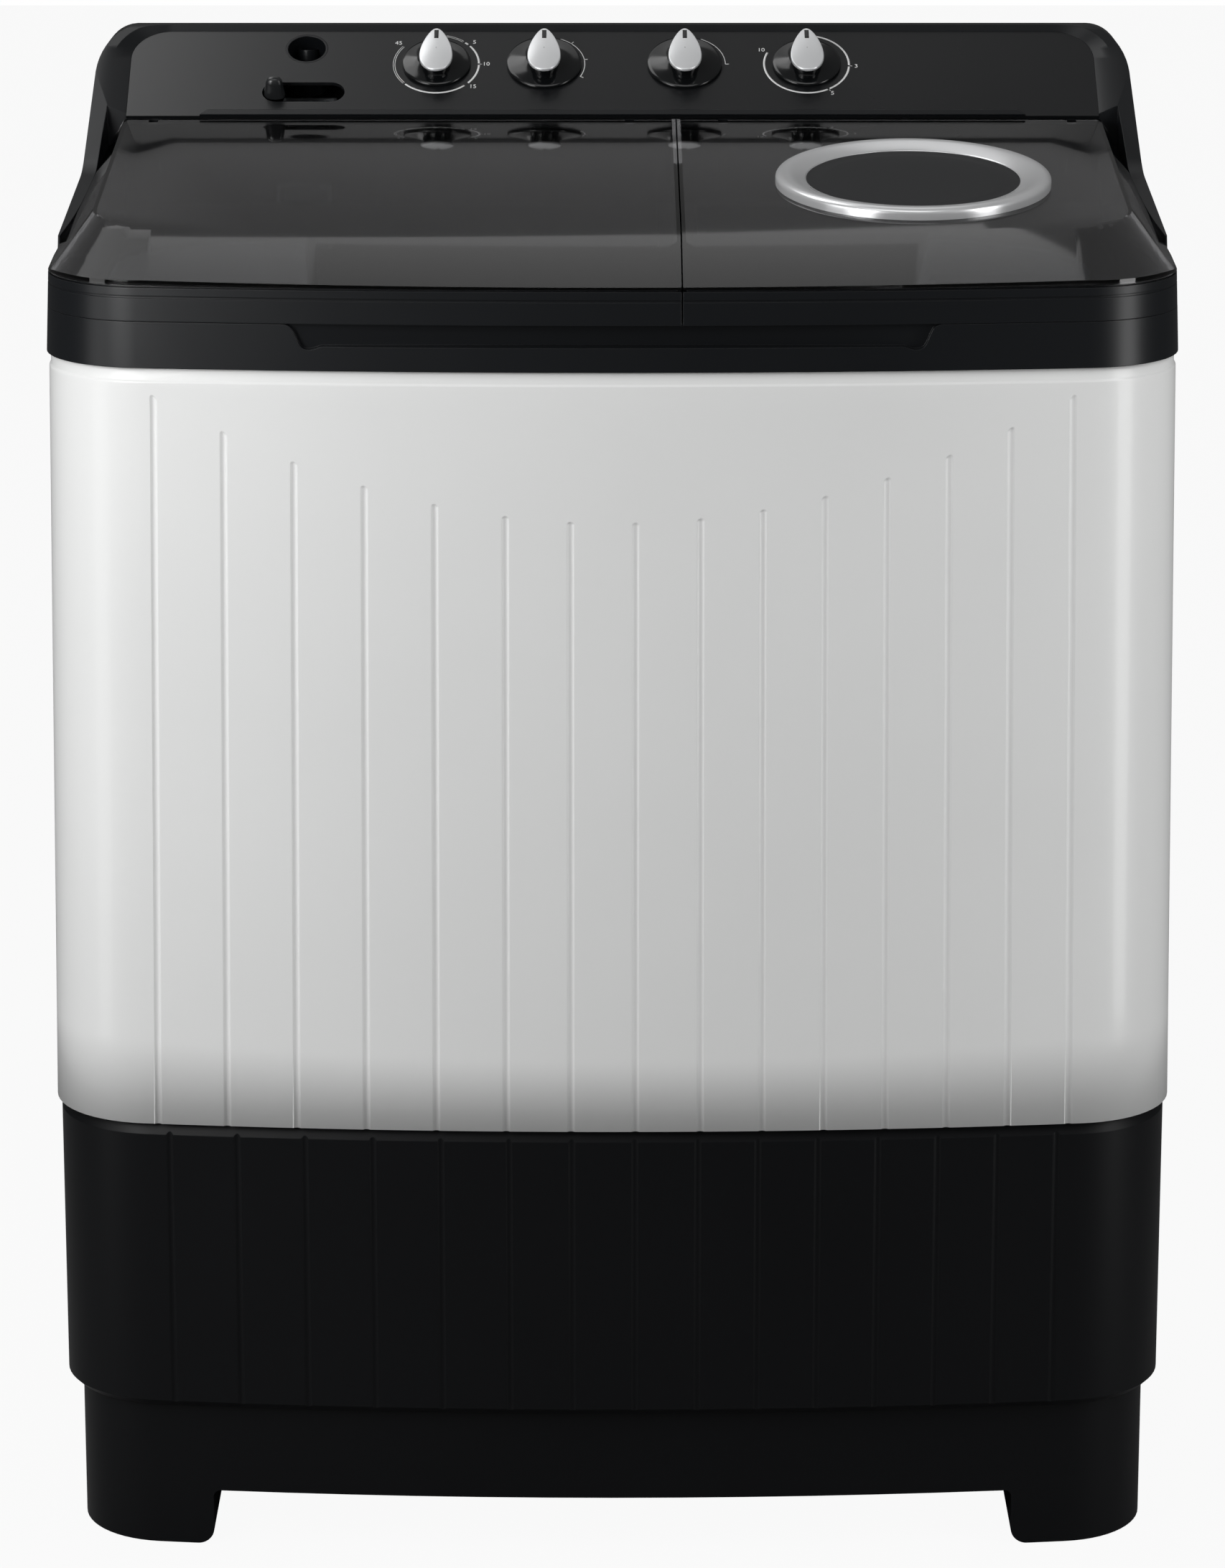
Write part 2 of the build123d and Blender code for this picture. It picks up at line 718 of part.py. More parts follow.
def make_lid_frame(name):
    """Ring under the window, with posts up to a high back bar on the hinges."""
    x0, x1 = lid_spans[name]
    block = lid_block() & lid_side(x0, x1)
    low = box(-body_width, body_width, -body_depth, body_depth, 0, rim_z)
    ring = block & low
    bar = frame_bar
    stretch = between(deck_level(seam_z - wall, bar), deck_level(rim_z + wall, bar))
    stretch &= lid_prism(seam_z - wall, rim_z + wall, -bar) & lid_side(x0 + bar, x1 - bar)
    stretch &= box(-body_width, body_width, -body_depth, from_front(lid_back - bar), 0, 2 * deck_top)
    ring -= stretch
    # ledge that the window stands on
    lip_in = between(deck_level(rim_z - snug, window_wall), deck_level(window_z, window_wall))
    lip_in &= lid_prism(rim_z - snug, window_z, -window_wall) & lid_side(x0 + window_wall, x1 - window_wall)
    ring += (lip_in - stretch) & block
    # rear corner posts and the high back bar
    back = lid_block(window_wall + snug) & lid_side(x0 + window_wall + snug, x1 - window_wall - snug)
    post_y = from_front(lid_back - bar)
    rear = box(-body_width, body_width, post_y, from_front(lid_back), rim_z, lid_top_z)
    middle = lid_side(max(x0, -rim_half) + bar, min(x1, rim_half) - bar)
    under_bar = middle & box(-body_width, body_width, -body_depth, body_depth, 0, pivot_z - back_bar_drop)
    ring += (back & rear) - under_bar
    ring -= lug_notches()
    for x in lug_places():
        ring -= cross_rod(x - knuckle_length, x + knuckle_length, pivot_y, pivot_z, pin_radius + pin_clear)
    # groove round the front band
    z = rim_z - groove_drop
    cut = between(deck_level(z, -groove_size), deck_level(z + groove_size, -groove_size))
    cut -= between(deck_level(z - wall, groove_size / 2), deck_level(z + wall, groove_size / 2))
    return ring - (cut & box(-body_width, body_width, -back_y, from_front(arm_start - 2 * wall), 0, deck_top))


def make_hinge_pins():
    """Two long pins that both lids turn on."""
    half = lug_width / 2 + lug_gap + knuckle_length - 2 * wall
    return [cross_rod(x - half, x + half, pivot_y, pivot_z, pin_radius) for x in lug_places()]


def lid_plane(lift=0.0):
    """Plane of the lids' top, its origin over the spin axis."""
    d = spin_y + body_depth / 2
    return Plane(origin=(spin_x, spin_y, lid_z(d)), x_dir=(1, 0, 0), z_dir=(0, -lid_slope, 1)).offset(lift)


def make_spin_ring():
    """Bright ring with a rounded crest and a sloping inner side."""
    rise = ring_height
    face = Plane.XZ * make_face([
        Line((ring_inner, 0), (ring_radius, 0)), Line((ring_radius, 0), (ring_radius, rise * 0.35)),
        Spline((ring_radius, rise * 0.35), (ring_radius - 5, rise * 0.9), (ring_radius - 11, rise)),
        Line((ring_radius - 11, rise), (ring_inner, rise * 0.45)),
        Line((ring_inner, rise * 0.45), (ring_inner, 0)),
    ])
    return lid_plane() * revolve(face, Axis.Z)


def make_spin_disc():
    """Dull disc inside the ring, a little hollow."""
    radius = ring_inner - snug
    face = Plane.XZ * make_face([
        Line((0, 0), (radius, 0)), Line((radius, 0), (radius, ring_height * 0.4)),
        Spline((radius, ring_height * 0.4), (radius * 0.55, ring_height * 0.32), (0, ring_height * 0.28)),
        Line((0, ring_height * 0.28), (0, 0)),
    ])
    return lid_plane() * revolve(face, Axis.Z)


# ---------------------------------------------------------------- console
def slot_face(grow=0.0):
    """Rounded slot of the water selector on the panel."""
    return Pos(slot_x, slot_level) * SlotOverall(2 * (slot_half + grow), 2 * (slot_high + grow))


def drill(x, level, radius, depth=40.0, top=10.0):
    """Cylinder square to the panel, through a place on it."""
    return panel_plane() * Pos(x, level, (top - depth) / 2) * Cylinder(radius, top + depth)


def make_control_panel():
    """Gloss panel with the holes of the dials, the slot and the inlet."""
    plate = panel_plane(-panel_thick) * panel_face(
        panel_half - snug, snug, panel_length - snug, panel_radius
    )
    plate = extrude(plate, panel_thick, dir=panel_plane().z_dir)
    plate -= [drill(x, dial_level, stem_radius + snug * 5) for x in dials.values()]
    plate -= extrude(panel_plane(-2 * panel_thick) * slot_face(), 3 * panel_thick, dir=panel_plane().z_dir)
    return plate - drill(inlet_x, inlet_level, inlet_radius)


def make_hinge_rail():
    """Lip along the panel's lower edge, with slanted ends."""
    face = make_face(Polyline(
        (-rail_half - rail_length, snug), (-rail_half, rail_length), (rail_half, rail_length),
        (rail_half + rail_length, snug), close=True,
    ))
    return extrude(panel_plane() * face, rail_height, dir=panel_plane().z_dir)


def make_console_back():
    """Service cover in the console's back."""
    half = panel_half - snug
    z0, z1 = service_low - service_lap + snug, service_top + service_lap - snug
    return box(-half, half, back_y - rear_thick, back_y - snug, z0, z1)


def grip_face(scale=1.0):
    """Egg outline of a grip, wide below and narrow at the pointer's end."""
    width, length = grip_width / 2 * scale, grip_length / 2 * scale
    right = Spline(
        (0, -length), (width, -length * 0.35), (width * 0.62, length * 0.6), (0, length),
        tangents=[(1, 0), (-1, 0)],
    )
    return make_face([right, mirror(right, Plane.YZ)])


def make_knob(x, skirt):
    """Trumpet skirt that rises into the egg-shaped grip, with a stem below."""
    at = panel_plane() * Pos(x, dial_level, 0)
    waist = grip_width / 2
    neck = knob_height * 0.8
    skirt_line = make_face([
        Line((0, skirt_lift), (skirt, skirt_lift)), Line((skirt, skirt_lift), (skirt, skirt_lift + 2)),
        Spline((skirt, skirt_lift + 2), (waist + (skirt - waist) * 0.42, knob_height * 0.4), (waist * 0.92, neck)),
        Line((waist * 0.92, neck), (0, neck)), Line((0, neck), (0, skirt_lift)),
    ])
    knob = revolve(Plane.XZ * skirt_line, Axis.Z)
    knob += extrude(Pos(0, 0, wall) * grip_face(0.96), knob_height - wall)
    knob += extrude(Pos(0, grip_length / 2 - pointer_length / 2 - 4, knob_height) * Rectangle(
        pointer_width, pointer_length), cap_thick)
    knob += Pos(0, 0, (skirt_lift - stem_length) / 2) * Cylinder(stem_radius, stem_length + skirt_lift)
    return at * knob


def make_knob_cap(x):
    """Bright cap on a grip, cut out for the dark pointer."""
    cap = extrude(Pos(0, 0, knob_height) * grip_face(), cap_thick)
    crown = cap.faces().sort_by(Axis.Z)[-1].edges()
    cap = fillet(crown, cap_thick * 0.45)
    cut = Pos(0, grip_length / 2 - pointer_length / 2 - 4, knob_height + cap_thick / 2) * Box(
        pointer_width + snug, pointer_length + snug, 2 * cap_thick)
    return panel_plane() * Pos(x, dial_level, 0) * (cap - cut)


def make_timer(x):
    """Clockwork or switch behind the panel, with a bore for the knob's stem."""
    back = -panel_thick - timer_depth
    body = Pos(0, 0, (back - panel_thick) / 2) * Box(timer_size, timer_size * 0.8, timer_depth)
    body = fillet(body.edges().filter_by(Axis.Z), 4)
    body += Pos(0, 0, back - 3) * Cylinder(timer_size * 0.34, 6)
    for side in (-1, 1):
        body += Pos(side * timer_size * 0.28, 0, back - 5) * Box(2, 7, 10)
    body -= Pos(0, 0, -panel_thick - stem_length / 2) * Cylinder(stem_radius + run_clear, stem_length)
    return panel_plane() * Pos(x, dial_level, 0) * body


def make_water_lever():
    """Dome-tipped finger lever on a slide under the slot."""
    x = slot_x - slot_half + lever_width / 2 + 1.0
    under = -panel_thick - 0.4
    finger = Pos(0, 0, under) * Rectangle(lever_width, slot_high * 1.5)
    tip = Pos(0, 0, lever_height - 5) * Rectangle(lever_width * 0.68, slot_high * 1.2)
    lever = loft([fillet(finger.vertices(), 7), fillet(tip.vertices(), 3)])
    lever += Pos(0, 0, lever_height - 5) * Sphere(lever_width * 0.34)
    lever += Pos(0, 0, under - 1.5) * Box(slot_half * 0.9, slot_high * 2 + 6, 3)
    lever += Pos(0, 0, under - 9) * Box(8, 8, 12)
    return panel_plane() * Pos(x, slot_level, 0) * lever


def make_inlet_cup():
    """Round well in the panel with the upright inlet nipple."""
    depth = 34.0
    cup = drill(inlet_x, inlet_level, inlet_radius - snug, depth, 0)
    cup -= drill(inlet_x, inlet_level, inlet_radius - snug - 1.8, depth - wall, 1)
    plane = panel_plane(-depth + wall - 1)
    foot = plane * Pos(inlet_x, inlet_level, 0)
    y, z = foot.position.Y, foot.position.Z
    nipple = rod(inlet_x, y, z - 4, z + nipple_height, nipple_radius)
    nipple -= rod(inlet_x, y, z - 6, z + nipple_height + 1, nipple_radius - 1.6)
    return cup + nipple


# ---------------------------------------------------------------- wash side
tub_floor = seam_z - deck_plate - tub_depth
sump_radius = pulsator_radius + sump_clear
sump_z = tub_floor - sump_depth


def tub_shell(inset, z_floor):
    """Tapered space of the wash tub, down to a floor."""
    return between(tub_face(z_floor, inset + tub_taper), tub_face(seam_z - deck_plate, inset))


def make_wash_tub():
    """Tapered wash tub with its sump, ribs and drain hole."""
    tub = tub_shell(0, tub_floor - wall)
    tub += rod(tub_x, tub_y, sump_z - wall, tub_floor, sump_radius + wall)
    tub -= tub_shell(tub_wall, tub_floor)
    tub -= rod(tub_x, tub_y, sump_z, tub_floor + 1, sump_radius)
    rim = extrude(tub_face(seam_z - deck_plate - wall, -tub_flange), wall)
    tub += rim - extrude(tub_face(seam_z - deck_plate - wall, tub_wall), wall)
    # ribs that stiffen the front and back walls
    for x in (tub_x - tub_radius * 0.7, tub_x, tub_x + tub_radius * 0.7):
        tub += box(
            x - 1.5, x + 1.5, tub_y0 + tub_taper, tub_y1 - tub_taper, tub_floor - 14, tub_floor - wall) - rod(
            tub_x, tub_y, 0, tub_floor, sump_radius)
    tub -= rod(tub_x, tub_y, sump_z - 2 * wall, sump_z + 1, shaft_radius + 4)
    tub -= rod(wash_drain_x, wash_drain_y, tub_floor - 2 * wall, tub_floor + 1, drain_bore)
    return tub


wash_drain_x = tub_x + sump_radius * 0.85
wash_drain_y = tub_y1 - tub_taper - 32


def make_pulsator():
    """Domed disc with curved vanes over the sump."""
    base = sump_z + sump_clear
    r = pulsator_radius
    disc = turned([
        (shaft_radius, base), (r - 6, base), (r, base + 3), (r, base + pulsator_thick),
        (r * 0.72, base + pulsator_thick + 3), (r * 0.34, base + pulsator_crown),
        (shaft_radius, base + pulsator_crown + 3),
    ], tub_x, tub_y)
    vane = loft([
        Plane(origin=(r * 0.2, 0, base + 4), z_dir=(0, 0, 1)) * Pos(r * 0.33, 0) * SlotOverall(r * 0.72, 26),
        Pos(r * 0.5, 0, base + pulsator_thick + vane_height) * SlotOverall(
            r * 0.5, 9),
    ])
    for i in range(vane_count):
        disc += Pos(tub_x, tub_y, 0) * Rot(0, 0, i * 360 / vane_count) * vane
    return disc - rod(tub_x, tub_y, 0, deck_z, shaft_radius)


pulsator_top = sump_z + sump_clear + pulsator_crown + 3
gearbox_z1 = sump_z - wall
gearbox_z0 = gearbox_z1 - gearbox_height
pulley_z1 = gearbox_z0 - 10
pulley_z0 = pulley_z1 - pulley_width
motor_x = tub_x + motor_offset
bracket_z = pulley_z0 - 14
motor_z0 = bracket_z - motor_height


def make_pulsator_shaft():
    """Upright shaft from the gearbox to the pulsator."""
    return rod(tub_x, tub_y, gearbox_z0 + gearbox_height / 2, pulsator_top, shaft_radius) + rod(
        tub_x, tub_y, pulsator_top, pulsator_top + 4, shaft_radius + 3)


def make_gearbox():
    """Ribbed gearbox under the wash tub."""
    case = turned([
        (0, gearbox_z0), (22, gearbox_z0), (24, gearbox_z0 + 8), (gearbox_radius - 6, gearbox_z0 + 12),
        (gearbox_radius, gearbox_z0 + 18), (gearbox_radius, gearbox_z1 - 6),
        (gearbox_radius + 14, gearbox_z1 - 6),
        (gearbox_radius + 14, gearbox_z1), (0, gearbox_z1),
    ], tub_x, tub_y)
    for i in range(8):
        rib = Pos(gearbox_radius - 4, 0, 0) * Box(20, 3, 24)
        case += Pos(tub_x, tub_y, gearbox_z1 - 16) * Rot(0, 0, i * 45) * rib
    case -= rod(tub_x, tub_y, gearbox_z0 + gearbox_height / 2, gearbox_z1 + 1, shaft_radius + run_clear)
    bore_top = gearbox_z0 + gearbox_height / 2 - 4
    return case - rod(tub_x, tub_y, gearbox_z0 - 1, bore_top, shaft_radius - 2 + run_clear)


def make_drive_pulley():
    """Large grooved pulley with six windows, on the gearbox's input shaft."""
    z0, z1, r = pulley_z0, pulley_z1, pulley_radius
    mid = (z0 + z1) / 2
    wheel = turned([
        (0, z0), (20, z0), (20, mid - 2), (r - 14, mid - 2), (r - 14, z0), (r, z0), (r - 7, mid - 3),
        (r - 7, mid + 3), (r, z1), (r - 14, z1), (r - 14, mid + 2), (20, mid + 2), (20, z1), (0, z1),
    ], tub_x, tub_y)
    for i in range(6):
        wheel -= Pos(tub_x, tub_y, mid) * Rot(0, 0, i * 60) * Pos(43, 0, 0) * Cylinder(14, 10)
    return wheel + rod(tub_x, tub_y, z1, gearbox_z0 + gearbox_height / 2 - 5, shaft_radius - 2)


def make_motor_pulley():
    """Small grooved pulley on the wash motor's shaft."""
    z0, z1, r = pulley_z0, pulley_z1, small_pulley
    mid = (z0 + z1) / 2
    wheel = turned([
        (motor_shaft, z0 - 3), (r - 5, z0 - 3), (r, z0), (r - 7, mid - 3), (r - 7, mid + 3), (r, z1),
        (motor_shaft, z1),
    ], motor_x, tub_y)
    return wheel


def make_motor_shaft():
    """Shaft of the wash motor."""
    return rod(motor_x, tub_y, motor_z0 + 6, pulley_z1 + 2, motor_shaft)


def hull_loop(r1, r2):
    """Face round both pulleys."""
    angle = math.acos((r1 - r2) / motor_offset)
    c, s = math.cos(angle), math.sin(angle)
    a1, a2 = (r1 * c, r1 * s), (motor_offset + r2 * c, r2 * s)
    b1, b2 = (a1[0], -a1[1]), (a2[0], -a2[1])
    return make_face([
        Line(a1, a2), ThreePointArc(a2, (motor_offset + r2, 0), b2),
        Line(b2, b1), ThreePointArc(b1, (-r1, 0), a1),
    ])


def make_belt():
    """Belt with a V section round both pulleys."""
    z = (pulley_z0 + pulley_z1 - belt_width * 0.62) / 2
    inner1, inner2 = pulley_radius - 7 + 0.6, small_pulley - 7 + 0.6
    outer = hull_loop(inner1 + belt_thick, inner2 + belt_thick)
    loop = extrude(Pos(tub_x, tub_y, z) * outer, belt_width * 0.62)
    return loop - extrude(Pos(tub_x, tub_y, z) * hull_loop(inner1, inner2), belt_width)


def motor_case(x, y, z0, z1, r, shaft):
    """Motor with end bells, through bolts and a bore for its shaft."""
    bell = (z1 - z0) * 0.22
    case = turned([
        (0, z0), (r * 0.4, z0), (r * 0.8, z0 + 5), (r, z0 + bell), (r, z0 + bell + 1), (r - 4, z0 + bell + 2),
        (r - 4, z1 - bell - 2), (r, z1 - bell - 1), (r, z1 - bell), (r * 0.8, z1 - 4), (r * 0.4, z1), (0, z1),
    ], x, y)
    for i in range(4):
        case += Pos(x, y, 0) * Rot(0, 0, 45 + i * 90) * rod(r - 3, 0, z0 + bell * 0.7, z1 - bell * 0.7, 4)
    return case - rod(x, y, z0 + 5, z1 + 1, shaft + run_clear)


def post_places():
    """Posts that hang the wash motor's bracket from the tub."""
    return [(motor_x + dx, tub_y + dy) for dx in (-30, 5) for dy in (-95, 95)]


def make_wash_motor():
    """Case of the wash motor."""
    return motor_case(motor_x, tub_y, motor_z0, bracket_z, motor_radius, motor_shaft)


def make_motor_bracket():
    """Steel plate over the motor, hung from the tub's floor on four posts."""
    places = post_places()
    x0, x1 = places[0][0] - 12, places[-1][0] + 12
    plate = Pos((x0 + x1) / 2, tub_y, bracket_z) * Rectangle(x1 - x0, 214)
    plate = extrude(fillet(plate.vertices(), 12), wall)
    plate -= rod(motor_x, tub_y, 0, deck_z, motor_shaft + 5)
    for x, y in places:
        plate += rod(x, y, bracket_z, tub_floor - wall, post_radius)
    return plate


def make_lint_filter():
    """Framed lint screen that lifts off the tub's back wall."""
    x0, x1 = tub_x - 45, tub_x + 45
    z0 = tub_floor + filter_rise
    z1 = z0 + filter_height
    y1 = tub_y1 - tub_wall - tub_taper * (seam_z - deck_plate - z0) / tub_depth - 0.5
    y0 = y1 - filter_thick
    body = box(x0, x1, y0, y1, z0, z1)
    body = fillet(body.edges().filter_by(Axis.Y), 10)
    body -= box(x0 + 7, x1 - 7, y0 - 1, y1 - 2, z0 + 8, z1 - 18)
    for i in range(1, 6):
        x = x0 + 7 + (x1 - x0 - 14) * i / 6
        body += box(x - 1, x + 1, y0 + 1, y1 - 1, z0 + 6, z1 - 16)
    return body


# ---------------------------------------------------------------- spin side
spin_top = seam_z - deck_plate
spin_floor = spin_top - spin_tub_depth
basket_z1 = spin_top - basket_drop
basket_z0 = basket_z1 - basket_height
drum_z1 = spin_floor - wall - 62
drum_z0 = drum_z1 - drum_height


def make_spin_tub():
    """Round tub that holds the spin basket."""
    tub = tube(spin_x, spin_y, spin_floor - wall, spin_top, spin_tub_radius, spin_tub_radius - tub_wall)
    tub += tube(spin_x, spin_y, spin_floor - wall, spin_floor, spin_tub_radius, seal_radius)
    tub += tube(spin_x, spin_y, spin_floor, spin_floor + 14, seal_radius + tub_wall, seal_radius)
    tub += tube(spin_x, spin_y, spin_top - wall, spin_top, spin_tub_radius + wall, spin_tub_radius - tub_wall)
    return tub - rod(spin_drain_x, spin_drain_y, spin_floor - 2 * wall, spin_floor + 1, drain_bore)


spin_drain_x = spin_x - spin_tub_radius * 0.62
spin_drain_y = spin_y + spin_tub_radius * 0.52


def make_spin_basket():
    """Perforated basket with a rolled rim, a raised hub and rows of holes."""
    r, t, z0, z1 = basket_radius, basket_wall, basket_z0, basket_z1
    shell = turned([
        (spin_shaft_radius, z0 + hub_rise), (34, z0 + hub_rise), (52, z0 + 6), (r - 16, z0),
        (r - 4, z0 + 5), (r, z0 + 16),
        (r, z1), (r - balance_ring, z1), (r - balance_ring, z1 - 26), (r - balance_ring + t, z1 - 28),
        (r - t, z1 - 34), (r - t, z0 + 17), (r - 6, z0 + 5 + t), (r - 17, z0 + t), (53, z0 + 6 + t),
        (35, z0 + hub_rise + t), (spin_shaft_radius, z0 + hub_rise + t),
    ], spin_x, spin_y)
    punch = extrude(RegularPolygon(hole_radius, 6), 3 * t, both=True)
    holes = []
    for row in range(basket_rows):
        z = z0 + 60 + row * (basket_height - 120) / (basket_rows - 1)
        for i in range(basket_columns):
            turn = (i + 0.5 * (row % 2)) * 360 / basket_columns
            holes.append(Pos(spin_x, spin_y, z) * Rot(0, 0, turn) * Pos(r, 0, 0) * Rot(0, 90, 0) * punch)
    return shell - holes


def make_spin_shaft():
    """Shaft from the brake drum to the basket's hub."""
    hub_z = basket_z0 + hub_rise + basket_wall
    return rod(spin_x, spin_y, drum_z0 + 4, hub_z, spin_shaft_radius) + rod(
        spin_x, spin_y, hub_z, hub_z + 6, 2 * spin_shaft_radius)


def make_shaft_seal():
    """Rubber bellows between the tub's hub and the bearing on the shaft."""
    inner, r, z1 = bearing_radius, seal_radius, spin_floor + 10
    return turned([
        (inner, z1 - 40), (inner + 3, z1 - 40), (r - 14, z1 - 26), (r - 20, z1 - 18), (r - 6, z1 - 12),
        (r - 12, z1 - 4), (r - 0.1, z1 - 4), (r - 0.1, z1), (r - 15, z1), (r - 10, z1 - 13),
        (r - 24, z1 - 18), (r - 18, z1 - 25),
        (inner, z1 - 34),
    ], spin_x, spin_y)


def make_spin_bearing():
    """Sleeve bearing in the bellows."""
    z1 = spin_floor + 10 - 34
    return tube(spin_x, spin_y, z1 - 6 - 22, z1, bearing_radius, spin_shaft_radius + run_clear)


def make_brake_drum():
    """Drum under the spin tub that the brake shoe grips."""
    drum = tube(spin_x, spin_y, drum_z0, drum_z1, drum_radius, drum_radius - 5)
    drum += tube(spin_x, spin_y, drum_z0 + 8, drum_z0 + 12, drum_radius - 4, spin_shaft_radius)
    drum += tube(spin_x, spin_y, drum_z0, drum_z1, 17, spin_shaft_radius)
    return drum - rod(spin_x, spin_y, drum_z0 - 1, drum_z0 + 4, spin_shaft_radius)


lever_pivot_x = spin_x + drum_radius + 34
lever_pivot_y = spin_y + 30
spin_motor_z1 = drum_z0 - 12
spin_motor_z0 = spin_motor_z1 - spin_motor_height


def make_brake_lever():
    """Curved shoe and arm on an upright pin beside the drum."""
    z0, z1 = drum_z0 + 5, drum_z1 - 5
    r = drum_radius + brake_gap
    shoe = tube(spin_x, spin_y, z0, z1, r + 7, r)
    wedge = make_face(Polyline((0, 0), (120, -16), (120, 44), close=True))
    shoe &= extrude(Pos(spin_x, spin_y, z0) * wedge, z1 - z0)
    arm = make_face(Polyline(
        (spin_x + r + 4, spin_y - 8), (lever_pivot_x + 5, lever_pivot_y - 10),
        (lever_pivot_x + 8, lever_pivot_y + 34), (lever_pivot_x - 4, lever_pivot_y + 34),
        (lever_pivot_x - 7, lever_pivot_y + 4), (spin_x + r + 3, spin_y + 12),
        close=True,
    ))
    mid = (z0 + z1) / 2
    lever = shoe + extrude(Pos(0, 0, mid - 2) * arm, 4)
    lever += rod(lever_pivot_x, lever_pivot_y, mid - 6, mid + 6, 9)
    return lever - rod(lever_pivot_x, lever_pivot_y, z0, z1, 4 + run_clear)


def make_brake_post():
    """Pin of the brake lever, on a foot that is screwed to the motor's plate."""
    mid = (drum_z0 + drum_z1) / 2
    post = rod(lever_pivot_x, lever_pivot_y, mid - 10, mid + 9, 4)
    post += rod(lever_pivot_x, lever_pivot_y, plate_z, mid - 10, 7)
    return post


plate_z = spin_motor_z0 - 4


def make_spin_motor():
    """Case of the spin motor."""
    return motor_case(spin_x, spin_y, spin_motor_z0, spin_motor_z1, spin_motor_radius, motor_shaft)


def make_spin_rotor():
    """Shaft of the spin motor, up into the brake drum."""
    return rod(spin_x, spin_y, spin_motor_z0 + 6, drum_z0 + 4, motor_shaft)


def spring_places():
    """Centres of the three springs round the spin motor."""
    return [
        (spin_x + spring_ring * math.cos(a), spin_y + spring_ring * math.sin(a))
        for a in (math.radians(90), math.radians(210), math.radians(330))
    ]


def make_motor_plate():
    """Three-cornered plate under the spin motor, with an arm for the brake."""
    places = spring_places()
    plate = rod(spin_x, spin_y, plate_z, plate_z + 4, 52)
    for x, y in places:
        plate += rod(x, y, plate_z, plate_z + 4, 20)
    plate += box(
        spin_x, lever_pivot_x + 10, lever_pivot_y - 12, lever_pivot_y + 12, plate_z, plate_z + 4)
    return plate - rod(lever_pivot_x, lever_pivot_y, plate_z, plate_z + 9, 7)


def make_motor_springs():
    """Three coil springs that carry the spin motor."""
    height = plate_z - band_z - 2 * wire_radius
    path = Helix(height / spring_turns, height, spring_radius)
    wire = Plane(origin=path @ 0, z_dir=path % 0) * RegularPolygon(wire_radius, 6)
    coil = sweep(wire, path, is_frenet=True)
    return [Pos(x, y, band_z + wire_radius) * coil for x, y in spring_places()]


def make_motor_dampers():
    """Rubber cores inside the springs."""
    waist = (band_z + plate_z) / 2
    return [
        turned([(0, band_z), (9, band_z), (7, waist), (9, plate_z), (0, plate_z)], x, y)
        for x, y in spring_places()
    ]


def make_safety_lid():
    """Round inner lid over the basket, with a raised finger bar."""
    z0 = seam_z - seat_depth
    disc = rod(spin_x, spin_y, z0, z0 + safety_thick, safety_radius)
    disc += tube(spin_x, spin_y, z0, z0 + safety_thick + 3, safety_radius, safety_radius - 4)
    disc += tube(spin_x, spin_y, z0 - 8, z0, mouth_radius - 1.5, mouth_radius - 5)
    for i in range(6):
        disc += Pos(spin_x, spin_y, z0 + safety_thick + 1) * Rot(0, 0, i * 60) * Pos(70, 0, 0) * Box(90, 3, 2)
    disc += box(spin_x - 28, spin_x + 28, spin_y - 3, spin_y + 3, z0 + safety_thick, z0 + safety_thick + 9)
    return disc


# ---------------------------------------------------------------- water
def run(points, radius, grow=0.0):
    """Solid bar along straight runs with round elbows, its two ends drawn out by grow."""
    bar = None
    for start, end in zip(points, points[1:]):
        way = (Vector(*end) - Vector(*start)).normalized()
        first = Vector(*start) - way * (grow if start == points[0] else 0)
        last = Vector(*end) + way * (grow if end == points[-1] else 0)
        stretch = Solid.make_cylinder(radius, (last - first).length, Plane(origin=first, z_dir=way))
        bar = stretch if bar is None else bar + stretch
        if end != points[-1]:
            bar += Pos(*end) * Sphere(radius + elbow_bead)
    return bar


def pipe(points, outer, inner):
    """Hollow pipe along the same kind of run."""
    return run(points, outer) - run(points, inner, 1)


valve_x = drain_x
valve_y = from_front(panel_d + pocket_back + 16)
valve_z1 = tub_floor + 24
valve_z0 = valve_z1 - 84


def make_drain_valve():
    """Valve chamber behind the tubs, with a seat for the plug."""
    body = rod(valve_x, valve_y, valve_z0, valve_z1, 22)
    body -= rod(valve_x, valve_y, valve_z0 + 24, valve_z1 - 4, 19)
    low = tub_floor - 24
    body -= run([(wash_drain_x, wash_drain_y, low), (valve_x, valve_y, low)], pipe_outer)
    body -= rod(valve_x, valve_y, valve_z0 - 1, valve_z0 + 30, 12)
    return body - rod(valve_x, valve_y, valve_z1 - 10, valve_z1 + 1, rod_radius + run_clear)


def make_drain_rod():
    """Rubber-faced plug on the long rod up to the drain selector."""
    cam_z = dial_place("drain_selector", -panel_thick - timer_depth - 12)[2]
    reach = dial_place("drain_selector", 0)[1] + 12
    arm = box(valve_x - 4, valve_x + 4, valve_y - 4, reach, cam_z - 30, cam_z - 24)
    return arm + rod(valve_x, valve_y, valve_z0 + 24, valve_z0 + 34, 16) + rod(
        valve_x, valve_y, valve_z0 + 34, cam_z - 28, rod_radius)


def dial_place(name, lift):
    """Point over the panel on a dial's axis."""
    place = panel_plane() * Pos(dials[name], dial_level, lift)
    return place.position.X, place.position.Y, place.position.Z


